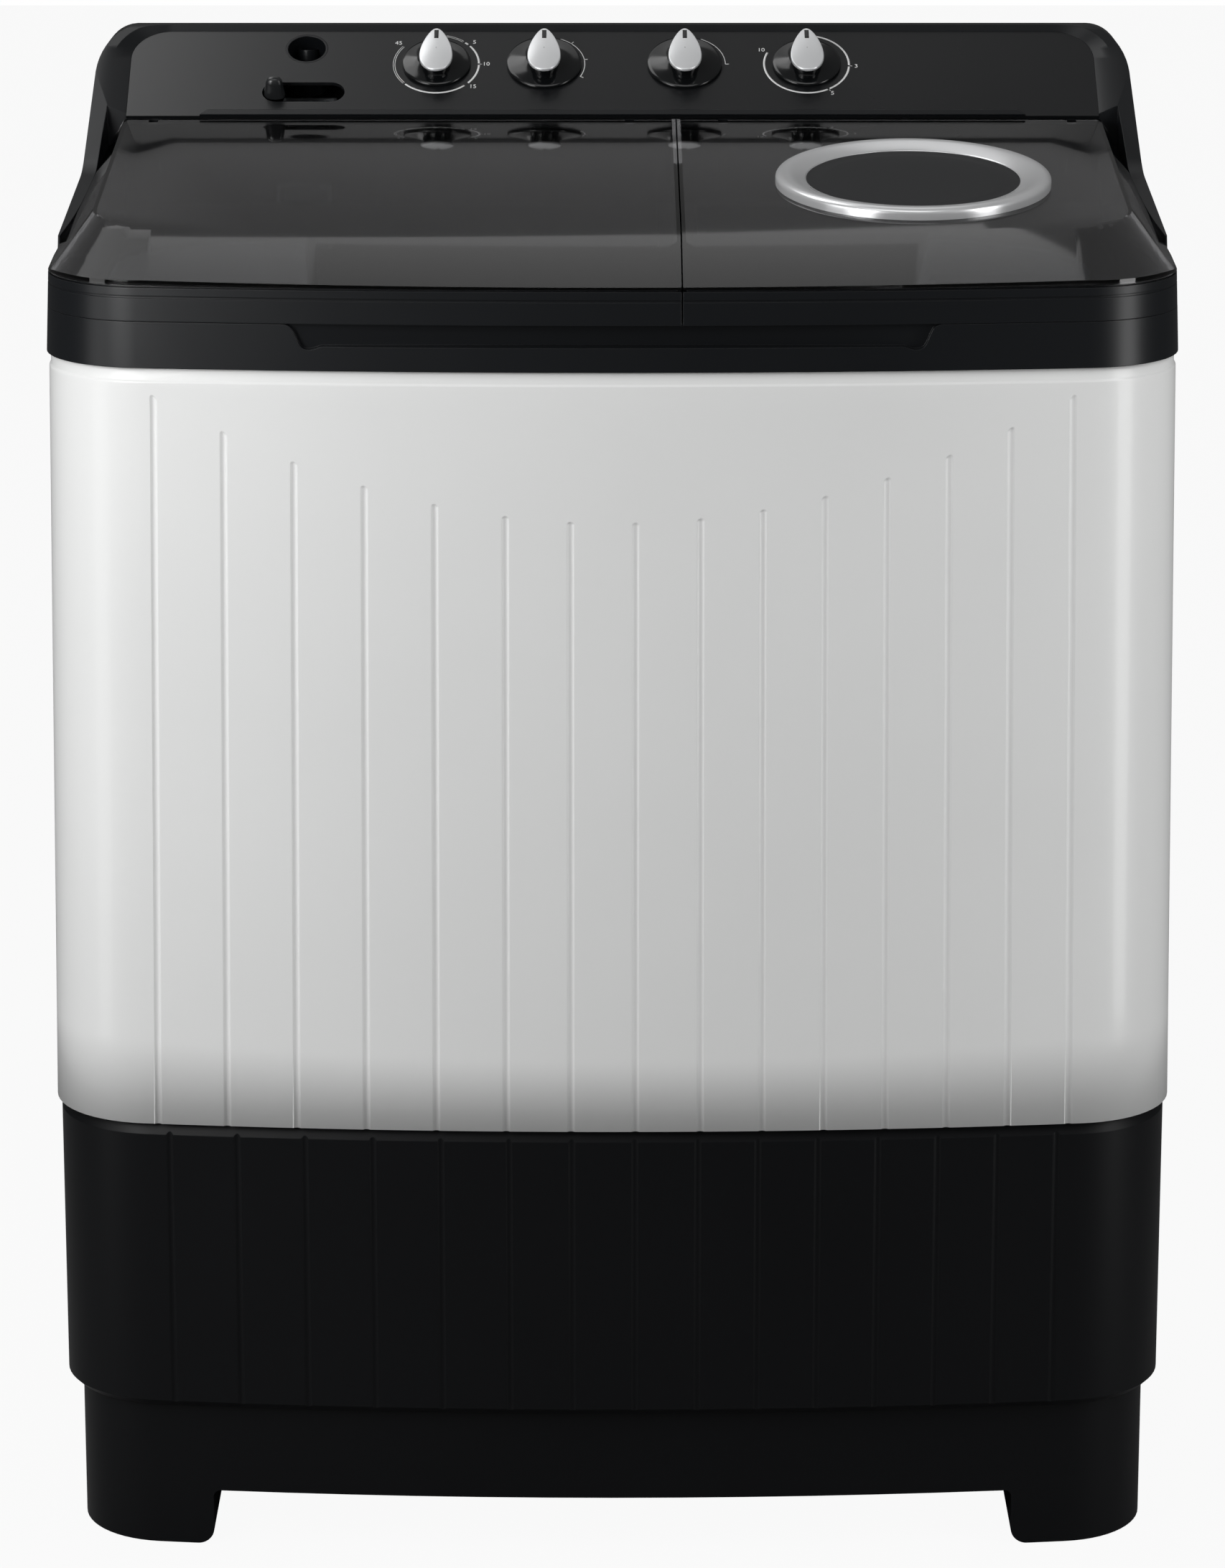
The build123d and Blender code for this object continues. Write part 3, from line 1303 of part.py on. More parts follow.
def make_drain_pipe():
    """Pipes from both tubs to the valve and down to the spigot at the back."""
    low = tub_floor - 24
    wash = pipe(
        [(wash_drain_x, wash_drain_y, tub_floor - wall), (wash_drain_x, wash_drain_y, low),
         (valve_x, valve_y, low)],
        pipe_outer, pipe_inner)
    joint = valve_z0 - 40
    spin = pipe(
        [(spin_drain_x, spin_drain_y, spin_floor - wall), (spin_drain_x, spin_drain_y, joint),
         (valve_x, valve_y, joint)],
        pipe_outer, pipe_inner)
    down = pipe(
        [(valve_x, valve_y, valve_z0), (valve_x, valve_y, drain_z), (valve_x, back_y - spigot_set, drain_z)],
        pipe_outer, pipe_inner)
    spigot = Pos(valve_x, back_y - (recess_depth + spigot_set) / 2, drain_z) * Rot(90, 0, 0) * Cylinder(
        spigot_radius, recess_depth - spigot_set)
    down += spigot - run([(valve_x, valve_y, drain_z), (valve_x, back_y, drain_z)], pipe_inner)
    pipes = (wash - rod(valve_x, valve_y, valve_z0, valve_z1, 22)) + spin + down
    return pipes - rod(valve_x, valve_y, drain_z, valve_z0 + 1, pipe_inner)


def spray_path():
    """Run of the spin side's filling pipe inside the console."""
    y = cavity_front + 36
    return [
        (slot_x + chute_half, y, spray_z), (spin_x, y, spray_z),
        (spin_x, from_front(panel_d + pocket_back), spray_z)]


def make_spray_pipe():
    """Pipe that carries water along the console to the basket."""
    return pipe(spray_path(), spray_radius, spray_radius - 1.5)


def chute_block(inset):
    """Side view of the filling chute, from the inlet well to the wash tub."""
    well = panel_plane() * Pos(inlet_x, inlet_level, -34)
    top, mid = well.position.Z - 14, spray_z + 34
    y0, y1 = well.position.Y - 22, cavity_back - 1
    spout = from_front(panel_d + pocket_back)
    i = inset
    face = make_face(Polyline(
        (y1 - i, top + i * 2), (y0 + i, top + i * 2), (y0 + i, mid + i), (cavity_front + 4, spray_z + 12 - i),
        (spout - abs(i) * 2, spray_z + 12 - i), (spout - abs(i) * 2, spray_z - 12 + i),
        (cavity_front + 8, spray_z - 12 + i),
        (y1 - i, spray_z + 4 + i), close=True,
    ))
    half = chute_half - i
    return Pos(inlet_x, 0, 0) * extrude(Plane.YZ * face, half, both=True)


def make_water_chute():
    """Chute from the inlet to the wash tub."""
    chute = chute_block(0) - chute_block(2.0)
    return chute - run(spray_path(), spray_radius + snug)


def make_rear_cover():
    """Back panel with two banks of louvres."""
    x0, x1, z0, z1 = rear_opening()
    y0 = back_y - cabinet_back_set
    cover = box(x0 - rear_lap, x1 + rear_lap, y0, y0 + rear_thick, z0 - rear_lap, z1 + rear_lap)
    slots = []
    for side in (-1, 1):
        for row in range(louvre_rows):
            z = z0 + 40 + row * louvre_pitch
            slots.append(box(
                side * spin_x - louvre_length / 2, side * spin_x + louvre_length / 2, y0 - 1, back_y,
                z, z + louvre_height))
    cover -= slots
    hole = Rot(90, 0, 0) * Cylinder(screw_shank + snug, 4 * wall)
    cover -= [Pos(x, back_y, z) * hole for x, z in rear_screw_places()]
    x, z = gland_place()
    return cover - Pos(x, back_y, z) * Rot(90, 0, 0) * Cylinder(gland_radius, 4 * wall)


def gland_place():
    """Centre of the cord's gland on the back."""
    x0, _, z0, _ = rear_opening()
    return x0 + 30, z0 + 40


def make_cord_gland():
    """Rubber grommet of the mains lead in the rear cover."""
    x, z = gland_place()
    y0 = back_y - cabinet_back_set
    ring = Pos(x, y0 + rear_thick / 2, z) * Rot(90, 0, 0) * Cylinder(gland_radius - snug / 2, rear_thick)
    ring += Pos(x, y0 + rear_thick + 0.9, z) * Rot(90, 0, 0) * Cylinder(gland_radius + 3, 1.8)
    ring += Pos(x, y0 - 1.5, z) * Rot(90, 0, 0) * Cylinder(gland_radius + 2, 3)
    return ring - Pos(x, y0, z) * Rot(90, 0, 0) * Cylinder(4, 40)


def screw(x, y_face, z, head, shank, high, length):
    """Pan-head screw driven in from the back, its head on a face."""
    return Pos(x, y_face + high / 2, z) * Rot(90, 0, 0) * Cylinder(head, high) + Pos(
        x, y_face - length / 2, z) * Rot(90, 0, 0) * Cylinder(shank, length)


def make_rear_screws():
    """Screws of the rear cover."""
    face = back_y - cabinet_back_set + rear_thick
    return [
        screw(x, face, z, screw_head, screw_shank, screw_head_high, rear_thick)
        for x, z in rear_screw_places()
    ]


def service_screw_places():
    """Places of the screws of the console's back."""
    half = panel_half - service_lap / 2
    z0, z1 = service_low - service_lap / 2, service_top + service_lap / 2
    return [(x, z) for x in (-half, 0, half) for z in (z0, z1)]


def make_service_screws():
    """Screws of the console's back."""
    face = back_y - snug - 1.0
    return [
        screw(x, face, z, screw_head - 0.5, screw_shank, 1.0, screw_length)
        for x, z in service_screw_places()
    ]


def service_screw_holes():
    """Holes and head seats for the screws of the console's back."""
    hole = Rot(90, 0, 0) * Cylinder(screw_shank + snug, 6 * wall)
    holes = [Pos(x, back_y, z) * hole for x, z in service_screw_places()]
    heads = [
        Pos(x, back_y, z) * Rot(90, 0, 0) * Cylinder(screw_head - 0.5 + snug, 2.2)
        for x, z in service_screw_places()]
    return holes, heads


def make_gearbox_bolts():
    """Bolts that hold the gearbox to the tub."""
    z = gearbox_z1 - 6 - 5
    places = [(tub_x + (gearbox_radius + 7) * math.cos(a), tub_y + (gearbox_radius + 7) * math.sin(a))
              for a in (math.radians(22.5 + 90 * i) for i in range(4))]
    return [Pos(x, y, z) * extrude(RegularPolygon(6.5, 6), 5) for x, y in places]


def make_capacitor():
    """Round capacitor with two blades on its lid."""
    x, y = tub_x - 60, tub_y1 - 40
    top = band_z + capacitor_height
    can = rod(x, y, band_z, top, capacitor_radius)
    can = fillet(can.edges().sort_by(Axis.Z)[-1:], 3)
    for side in (-6, 6):
        can += box(x + side - 2, x + side + 2, y - 1, y + 1, top - 1, top + 9)
    return can


def make_leg_pads():
    """Rubber pads under the four legs."""
    return [rod(x, y, 0, pad_height, pad_radius) for x, y in pad_places()]


# ---------------------------------------------------------------- the parts
top_deck = make_top_deck()
shank_holes, head_holes = service_screw_holes()
top_deck -= shank_holes
top_deck -= drill(inlet_x, inlet_level, inlet_radius, 34 + wall, 0)
top_deck -= chute_block(-snug * 2) & box(
    -body_width, body_width, from_front(lid_back) - 2 * wall, cavity_front + 1, 0, deck_top)
top_deck -= Pos(spin_x, cavity_front, spray_z) * Rot(90, 0, 0) * Cylinder(spray_radius + snug * 2, 4 * wall)
console_back = make_console_back() - shank_holes - head_holes
water_chute = make_water_chute()
parts = {
    "cabinet": make_cabinet(),
    "base": make_base(),
    "leg_pads": make_leg_pads(),
    "rear_cover": make_rear_cover(),
    "case_screws": make_rear_screws() + make_service_screws(),
    "cord_gland": make_cord_gland(),
    "top_deck": top_deck,
    "console_back": console_back,
    "control_panel": make_control_panel(),
    "hinge_rail": make_hinge_rail(),
    "lid_hinge_pins": make_hinge_pins(),
    "wash_lid_frame": make_lid_frame("wash"),
    "wash_lid_window": make_lid_window("wash"),
    "spin_lid_frame": make_lid_frame("spin"),
    "spin_lid_window": make_lid_window("spin"),
    "spin_lid_ring": make_spin_ring(),
    "spin_lid_disc": make_spin_disc(),
    "water_selector_lever": make_water_lever(),
    "inlet_nipple": make_inlet_cup(),
    "water_chute": water_chute,
    "spin_filling_pipe": make_spray_pipe(),
    "wash_tub": make_wash_tub(),
    "pulsator": make_pulsator(),
    "pulsator_shaft": make_pulsator_shaft(),
    "wash_gearbox": make_gearbox(),
    "gearbox_bolts": make_gearbox_bolts(),
    "drive_pulley": make_drive_pulley(),
    "drive_belt": make_belt(),
    "motor_pulley": make_motor_pulley(),
    "wash_motor_shaft": make_motor_shaft(),
    "wash_motor": make_wash_motor(),
    "wash_motor_bracket": make_motor_bracket(),
    "lint_filter": make_lint_filter(),
    "spin_tub": make_spin_tub(),
    "spin_basket": make_spin_basket(),
    "spin_shaft": make_spin_shaft(),
    "shaft_seal": make_shaft_seal(),
    "spin_bearing": make_spin_bearing(),
    "brake_drum": make_brake_drum(),
    "brake_lever": make_brake_lever(),
    "spin_motor": make_spin_motor(),
    "spin_motor_shaft": make_spin_rotor(),
    "spin_motor_plate": make_motor_plate() + make_brake_post(),
    "motor_springs": make_motor_springs(),
    "motor_dampers": make_motor_dampers(),
    "safety_lid": make_safety_lid(),
    "drain_valve": make_drain_valve(),
    "drain_rod": make_drain_rod(),
    "drain_pipe": make_drain_pipe(),
    "capacitor": make_capacitor(),
}
for name, x in dials.items():
    skirt = timer_skirt if name.endswith("timer") else selector_skirt
    parts[name + "_knob"] = make_knob(x, skirt)
    parts[name + "_cap"] = make_knob_cap(x)
parts["timers"] = [make_timer(dials[name]) for name in ("wash_timer", "spin_timer")]
parts["selector_switches"] = [make_timer(dials[name]) for name in ("wash_selector", "drain_selector")]

for name, piece in parts.items():
    if isinstance(piece, (list, ShapeList)):
        piece = Compound(children=list(piece))
    export_step(piece, f"parts/{name}.step")
print(len(parts), "parts")
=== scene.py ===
"""Dresses the twin tub washer: white shell, lids, ring, console print, knobs and studio."""

import json
import logging
import math
from dataclasses import dataclass, field
from enum import Enum
from typing import Any, Sequence

import bpy
import numpy as np
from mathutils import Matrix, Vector

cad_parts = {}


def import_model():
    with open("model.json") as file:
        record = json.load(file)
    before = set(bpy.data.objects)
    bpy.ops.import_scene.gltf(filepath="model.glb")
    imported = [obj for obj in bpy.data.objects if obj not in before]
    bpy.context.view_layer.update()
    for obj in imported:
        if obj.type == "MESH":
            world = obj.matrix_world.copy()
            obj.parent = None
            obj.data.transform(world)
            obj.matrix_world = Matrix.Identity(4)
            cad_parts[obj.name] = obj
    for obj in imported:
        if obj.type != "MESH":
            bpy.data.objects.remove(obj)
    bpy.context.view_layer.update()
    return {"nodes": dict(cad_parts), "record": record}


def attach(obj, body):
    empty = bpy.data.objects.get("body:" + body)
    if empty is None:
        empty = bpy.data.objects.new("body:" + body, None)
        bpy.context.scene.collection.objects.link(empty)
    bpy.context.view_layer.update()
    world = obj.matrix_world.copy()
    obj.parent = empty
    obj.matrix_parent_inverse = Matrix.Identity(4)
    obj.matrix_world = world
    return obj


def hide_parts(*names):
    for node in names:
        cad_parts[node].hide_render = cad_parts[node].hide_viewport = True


LOG = logging.getLogger("washer")
MM = 0.001
COAT_ROUGHNESS = 0.04
PLASTIC_IOR = 1.49
CLOUD_SCALE = 7.0
BRUSH_STRETCH = 40.0
MERGE_REACH = 0.00002
SHARP_EDGE = math.radians(24.0)

Colour = tuple[float, float, float]
Place = tuple[float, float, float]
LampRow = tuple[str, Place, Place, tuple[float, float], float]
Grid = np.ndarray


# ---------------------------------------------------------------- finishes
class Grain(Enum):
    """Kinds of fine surface relief."""

    SMOOTH = "smooth"
    PEEL = "orange peel"
    SPARK = "spark eroded"
    BRUSHED = "brushed"


@dataclass(frozen=True)
class Finish:
    """One surface finish, made as a node material.

    Attributes:
        name: Name of the material.
        colour: Base colour, linear.
        roughness: Middle roughness.
        spread: How far the roughness and the colour wander over the surface.
        metallic: 1 for bare metal.
        specular: Level of the plain reflection.
        coat: Weight of a clear gloss layer.
        transmission: Share of light that passes.
        grain: Kind of fine relief.
        grain_size: Size of one grain, in millimetres.
        depth: Height of the relief, in millimetres.
        edge: Radius of the softened edges, in millimetres.
    """

    name: str
    colour: Colour
    roughness: float
    spread: float = 0.04
    metallic: float = 0.0
    specular: float = 0.5
    coat: float = 0.0
    transmission: float = 0.0
    grain: Grain = Grain.SMOOTH
    grain_size: float = 0.6
    depth: float = 0.0
    edge: float = 0.0

    def material(self) -> bpy.types.Material:
        """Returns the node material of this finish, made once."""
        title = f"{self.name}_finish"
        known = bpy.data.materials.get(title)
        if known is not None:
            return known
        made = bpy.data.materials.new(title)
        made.use_nodes = True
        made.diffuse_color = (*self.colour, 1.0)
        nodes, links = made.node_tree.nodes, made.node_tree.links
        shader = nodes["Principled BSDF"]
        shader.inputs["Metallic"].default_value = self.metallic
        shader.inputs["Specular IOR Level"].default_value = self.specular
        shader.inputs["Coat Weight"].default_value = self.coat
        shader.inputs["Coat Roughness"].default_value = COAT_ROUGHNESS
        shader.inputs["Transmission Weight"].default_value = self.transmission
        shader.inputs["IOR"].default_value = PLASTIC_IOR
        place = nodes.new("ShaderNodeTexCoord")
        cloud = nodes.new("ShaderNodeTexNoise")
        cloud.inputs["Scale"].default_value = CLOUD_SCALE
        cloud.inputs["Detail"].default_value = 3.0
        links.new(place.outputs["Object"], cloud.inputs["Vector"])
        self._colour(nodes, links, shader, cloud)
        self._roughness(nodes, links, shader, cloud)
        self._relief(nodes, links, shader, place)
        return made

    def _colour(self, nodes: Any, links: Any, shader: Any, cloud: Any) -> None:
        """Lets the colour wander a little round its middle value."""
        ramp = nodes.new("ShaderNodeValToRGB")
        dark = [channel * (1.0 - self.spread) for channel in self.colour]
        light = [min(channel * (1.0 + self.spread), 1.0) for channel in self.colour]
        ramp.color_ramp.elements[0].position = 0.3
        ramp.color_ramp.elements[1].position = 0.7
        ramp.color_ramp.elements[0].color = (*dark, 1.0)
        ramp.color_ramp.elements[1].color = (*light, 1.0)
        links.new(cloud.outputs["Fac"], ramp.inputs["Fac"])
        links.new(ramp.outputs["Color"], shader.inputs["Base Color"])

    def _roughness(self, nodes: Any, links: Any, shader: Any, cloud: Any) -> None:
        """Lets the roughness wander with the same cloud."""
        span = nodes.new("ShaderNodeMapRange")
        span.inputs["To Min"].default_value = max(self.roughness - self.spread / 2, 0.01)
        span.inputs["To Max"].default_value = self.roughness + self.spread / 2
        links.new(cloud.outputs["Fac"], span.inputs["Value"])
        links.new(span.outputs["Result"], shader.inputs["Roughness"])

    def _relief(self, nodes: Any, links: Any, shader: Any, place: Any) -> None:
        """Adds the fine grain and the softened edges to the normal."""
        normal = None
        if self.edge > 0:
            soft = nodes.new("ShaderNodeBevel")
            soft.samples = 4
            soft.inputs["Radius"].default_value = self.edge * MM
            normal = soft.outputs["Normal"]
        if self.depth > 0 and self.grain is not Grain.SMOOTH:
            stretch = nodes.new("ShaderNodeMapping")
            if self.grain is Grain.BRUSHED:
                stretch.inputs["Scale"].default_value = (1.0, 1.0, BRUSH_STRETCH)
            links.new(place.outputs["Object"], stretch.inputs["Vector"])
            noise = nodes.new("ShaderNodeTexNoise")
            noise.inputs["Scale"].default_value = 1.0 / (self.grain_size * MM * 2)
            noise.inputs["Detail"].default_value = 4.0 if self.grain is Grain.SPARK else 1.0
            links.new(stretch.outputs["Vector"], noise.inputs["Vector"])
            bump = nodes.new("ShaderNodeBump")
            bump.inputs["Strength"].default_value = 1.0
            bump.inputs["Distance"].default_value = self.depth * MM
            links.new(noise.outputs["Fac"], bump.inputs["Height"])
            if normal is not None:
                links.new(normal, bump.inputs["Normal"])
            normal = bump.outputs["Normal"]
        if normal is not None:
            links.new(normal, shader.inputs["Normal"])


WHITE_GLOSS = Finish(
    "white_gloss", (0.78, 0.785, 0.78), 0.34, 0.01, coat=0.2,
    grain=Grain.PEEL, grain_size=2.2, depth=0.006,
)
BASE_BLACK = Finish(
    "base_black", (0.0035, 0.0038, 0.0045), 0.42, 0.05, specular=0.16,
    grain=Grain.SPARK, grain_size=0.5, depth=0.010, edge=0.9,
)
DECK_DARK = Finish(
    "deck_dark", (0.0060, 0.0068, 0.0080), 0.33, 0.04, specular=0.34,
    grain=Grain.SPARK, grain_size=0.5, depth=0.005, edge=0.9,
)
PANEL_GLOSS = Finish("panel_gloss", (0.0075, 0.008, 0.0088), 0.27, 0.03, specular=0.5)
SMOKE = Finish("smoke_clear", (0.17, 0.17, 0.175), 0.05, 0.02, specular=0.5, transmission=1.0)
SATIN_CHROME = Finish("satin_chrome", (0.78, 0.785, 0.795), 0.26, 0.02, metallic=0.55, specular=0.6)
MATT_DISC = Finish(
    "matt_disc", (0.0150, 0.0155, 0.0170), 0.55, 0.05, specular=0.3,
    grain=Grain.SPARK, grain_size=0.7, depth=0.02,
)
KNOB_BLACK = Finish("knob_black", (0.004, 0.0045, 0.005), 0.14, 0.03, specular=0.5, edge=0.4)
CAP_SILVER = Finish(
    "cap_silver", (0.80, 0.81, 0.82), 0.30, 0.02, metallic=0.45, specular=0.6, edge=0.5,
)
LEVER = Finish("lever_dark", (0.018, 0.019, 0.020), 0.22, 0.03, specular=0.5, edge=1.2)
PRINT_WHITE = Finish("print_white", (0.78, 0.78, 0.78), 0.5, 0.01)
RUBBER = Finish(
    "rubber_black", (0.012, 0.012, 0.012), 0.7, 0.05, specular=0.3, grain=Grain.SPARK, depth=0.03,
)
GREY_PANEL = Finish(
    "grey_panel", (0.42, 0.43, 0.44), 0.45, 0.03, grain=Grain.PEEL, grain_size=1.2, depth=0.01,
)
ZINC = Finish("zinc", (0.55, 0.56, 0.57), 0.35, 0.06, metallic=1.0, grain=Grain.SPARK, depth=0.01)
TUB_WHITE = Finish("tub_white", (0.62, 0.65, 0.68), 0.28, 0.02, edge=1.0)
PULSATOR = Finish("pulsator_blue_grey", (0.33, 0.40, 0.48), 0.25, 0.03, edge=1.5)
STEEL = Finish(
    "steel_shaft", (0.52, 0.53, 0.54), 0.25, 0.04, metallic=1.0, grain=Grain.BRUSHED, depth=0.01,
)
ALLOY = Finish(
    "cast_alloy", (0.38, 0.39, 0.40), 0.5, 0.08, metallic=1.0, grain=Grain.SPARK, depth=0.04,
)
MOTOR = Finish("motor_paint", (0.012, 0.012, 0.013), 0.4, 0.05, edge=0.8)
BELT = Finish("belt_rubber", (0.015, 0.015, 0.015), 0.75, 0.05)
BASKET_GREY = Finish("basket_grey", (0.45, 0.47, 0.49), 0.3, 0.03, edge=0.8)
GREY_PLASTIC = Finish("grey_plastic", (0.13, 0.14, 0.15), 0.45, 0.05, edge=0.6)
SAFETY = Finish("clear_safety", (0.38, 0.46, 0.56), 0.3, 0.03, transmission=0.5)
CAN = Finish("capacitor_can", (0.55, 0.55, 0.55), 0.35, 0.05, metallic=1.0)
FINISHES = {
    finish.name: finish
    for finish in (
        WHITE_GLOSS, BASE_BLACK, DECK_DARK, PANEL_GLOSS, SMOKE, SATIN_CHROME, MATT_DISC, KNOB_BLACK,
        CAP_SILVER, RUBBER, GREY_PANEL, ZINC, TUB_WHITE, PULSATOR, STEEL, ALLOY, MOTOR, BELT,
        BASKET_GREY, GREY_PLASTIC, SAFETY, CAN,
    )
}


# ---------------------------------------------------------------- mesh helpers
def grid_faces(rows: int, columns: int, closed: bool = False) -> np.ndarray:
    """Quads of a grid of points in row-major order.

    Args:
        rows: Number of rows.
        columns: Number of columns.
        closed: Whether the last column joins the first.

    Returns:
        Array of vertex numbers, four to a face.
    """
    across = columns if closed else columns - 1
    row, column = np.meshgrid(np.arange(rows - 1), np.arange(across), indexing="ij")
    following = (column + 1) % columns
    first = row * columns + column
    second = row * columns + following
    faces = np.stack([first, second, second + columns, first + columns], axis=-1)
    return faces.reshape(-1, 4)


def mesh_piece(
    name: str, points: np.ndarray, faces: np.ndarray, finish: Finish, body: str, smooth: bool = True
) -> bpy.types.Object:
    """Makes one object from points in metres and faces, dresses it and lets it ride.

    Args:
        name: Name of the piece.
        points: Points, one row each.
        faces: Faces, one row of vertex numbers each.
        finish: Its finish.
        body: CAD body that it moves with.
        smooth: Whether its faces are shaded smooth.

    Returns:
        The new object.
    """
    mesh = bpy.data.meshes.new(name)
    mesh.from_pydata(points.tolist(), [], faces.tolist())
    mesh.polygons.foreach_set("use_smooth", np.full(len(mesh.polygons), smooth))
    mesh.validate()
    piece = bpy.data.objects.new(name, mesh)
    bpy.context.scene.collection.objects.link(piece)
    mesh.materials.append(finish.material())
    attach(piece, body)
    LOG.info("%s: %d faces on %s", name, len(faces), body)
    return piece


def grid_piece(
    name: str, points: Grid, finish: Finish, body: str, closed: bool = False, flip: bool = False
) -> bpy.types.Object:
    """Makes a piece from a grid of points, shaped rows by columns by 3.

    Args:
        name: Name of the piece.
        points: The grid, in metres.
        finish: Its finish.
        body: CAD body that it moves with.
        closed: Whether the last column joins the first.
        flip: Whether the faces are turned over.

    Returns:
        The new object.
    """
    faces = grid_faces(points.shape[0], points.shape[1], closed)
    if flip:
        faces = faces[:, ::-1]
    return mesh_piece(name, points.reshape(-1, 3), faces, finish, body)


def thicken(piece: bpy.types.Object, wall: float) -> None:
    """Gives an open skin a wall of that many millimetres on its inner side."""
    solid = piece.modifiers.new("wall", "SOLIDIFY")
    solid.thickness = wall * MM
    solid.offset = -1.0
    solid.use_even_offset = True


def smooth_group() -> bpy.types.NodeTree:
    """Node group that merges loose triangles and smooths all but sharp edges."""
    known = bpy.data.node_groups.get("merge_and_smooth")
    if known is not None:
        return known
    group = bpy.data.node_groups.new("merge_and_smooth", "GeometryNodeTree")
    group.interface.new_socket("Geometry", in_out="INPUT", socket_type="NodeSocketGeometry")
    group.interface.new_socket("Geometry", in_out="OUTPUT", socket_type="NodeSocketGeometry")
    nodes, links = group.nodes, group.links
    source = nodes.new("NodeGroupInput")
    merge = nodes.new("GeometryNodeMergeByDistance")
    merge.inputs["Distance"].default_value = MERGE_REACH
    angle = nodes.new("GeometryNodeInputMeshEdgeAngle")
    limit = nodes.new("FunctionNodeCompare")
    limit.data_type = "FLOAT"
    limit.operation = "LESS_THAN"
    limit.inputs["B"].default_value = SHARP_EDGE
    faces = nodes.new("GeometryNodeSetShadeSmooth")
    faces.domain = "FACE"
    edges = nodes.new("GeometryNodeSetShadeSmooth")
    edges.domain = "EDGE"
    target = nodes.new("NodeGroupOutput")
    links.new(source.outputs[0], merge.inputs["Geometry"])
    links.new(merge.outputs["Geometry"], faces.inputs["Geometry"])
    links.new(faces.outputs["Geometry"], edges.inputs["Geometry"])
    links.new(angle.outputs["Unsigned Angle"], limit.inputs["A"])
    links.new(limit.outputs["Result"], edges.inputs["Shade Smooth"])
    links.new(edges.outputs["Geometry"], target.inputs[0])
    return group


def dress(node: bpy.types.Object, finish: Finish) -> None:
    """Puts a finish on every slot of a CAD node and smooths its round faces."""
    if not node.data.materials:
        node.data.materials.append(finish.material())
    for number in range(len(node.data.materials)):
        node.data.materials[number] = finish.material()
    merge = node.modifiers.new("merge_and_smooth", "NODES")
    merge.node_group = smooth_group()


# ---------------------------------------------------------------- plan of the shell
@dataclass(frozen=True)
class Plan:
    """Outline of the shell in plan: bowed front, round corners, straight sides, flat back.

    Attributes:
        half: Half width, in millimetres.
        front: Y of the foremost point.
        back: Y of the back.
        corner: Radius of the front corners.
        rear: Radius of the back corners.
        bow: Radius of the bowed front.
    """

    half: float
    front: float
    back: float
    corner: float
    rear: float
    bow: float

    def arc_end(self) -> float:
        """Angle at which the bow meets the front corner, in radians."""
        return math.asin((self.half - self.corner) / (self.bow - self.corner))

    def corner_y(self) -> float:
        """Y of the front corners' centres."""
        reach = math.cos(self.arc_end()) * (self.bow - self.corner)
        return self.front + self.bow - reach

    def bow_points(self, x: np.ndarray) -> tuple[np.ndarray, np.ndarray]:
        """Points and outward directions along the bow: y = front + R - sqrt(R^2 - x^2)."""
        y = self.front + self.bow - np.sqrt(self.bow ** 2 - x ** 2)
        way = np.stack([x / self.bow, -np.sqrt(1 - (x / self.bow) ** 2)], axis=-1)
        return np.stack([x, y], axis=-1), way

    def right_half(self, across: np.ndarray, to_back: float) -> tuple[np.ndarray, np.ndarray]:
        """Right half of the outline, from the middle of the front to the back.

        Args:
            across: Shares from 0 to 1 along the bow, the first being 0.
            to_back: X at which the outline stops on the back.

        Returns:
            Points and outward directions, as N by 2 arrays.
        """
        bow, bow_way = self.bow_points(across * self.bow * math.sin(self.arc_end()))
        turn = np.linspace(self.arc_end(), math.pi / 2, 15)[1:]
        corner_way = np.stack([np.sin(turn), -np.cos(turn)], axis=-1)
        corner = np.array([self.half - self.corner, self.corner_y()]) + self.corner * corner_way
        side_y = np.linspace(self.corner_y(), self.back - self.rear, 9)[1:]
        side = np.stack([np.full_like(side_y, self.half), side_y], axis=-1)
        side_way = np.tile([1.0, 0.0], (len(side_y), 1))
        turn = np.linspace(math.pi / 2, math.pi, 8)[1:]
        rear_way = np.stack([np.sin(turn), -np.cos(turn)], axis=-1)
        rear = np.array([self.half - self.rear, self.back - self.rear]) + self.rear * rear_way
        last = np.array([[to_back, self.back]])
        points = np.concatenate([bow, corner, side, rear, last])
        ways = np.concatenate([bow_way, corner_way, side_way, rear_way, [[0.0, 1.0]]])
        return points, ways

    def whole(self, across: np.ndarray, to_back: float) -> tuple[np.ndarray, np.ndarray]:
        """The whole outline, from the left of the back round the front to the right."""
        points, ways = self.right_half(across, to_back)
        mirror = np.array([-1.0, 1.0])
        left, left_ways = points[:0:-1] * mirror, ways[:0:-1] * mirror
        return np.concatenate([left, points]), np.concatenate([left_ways, ways])


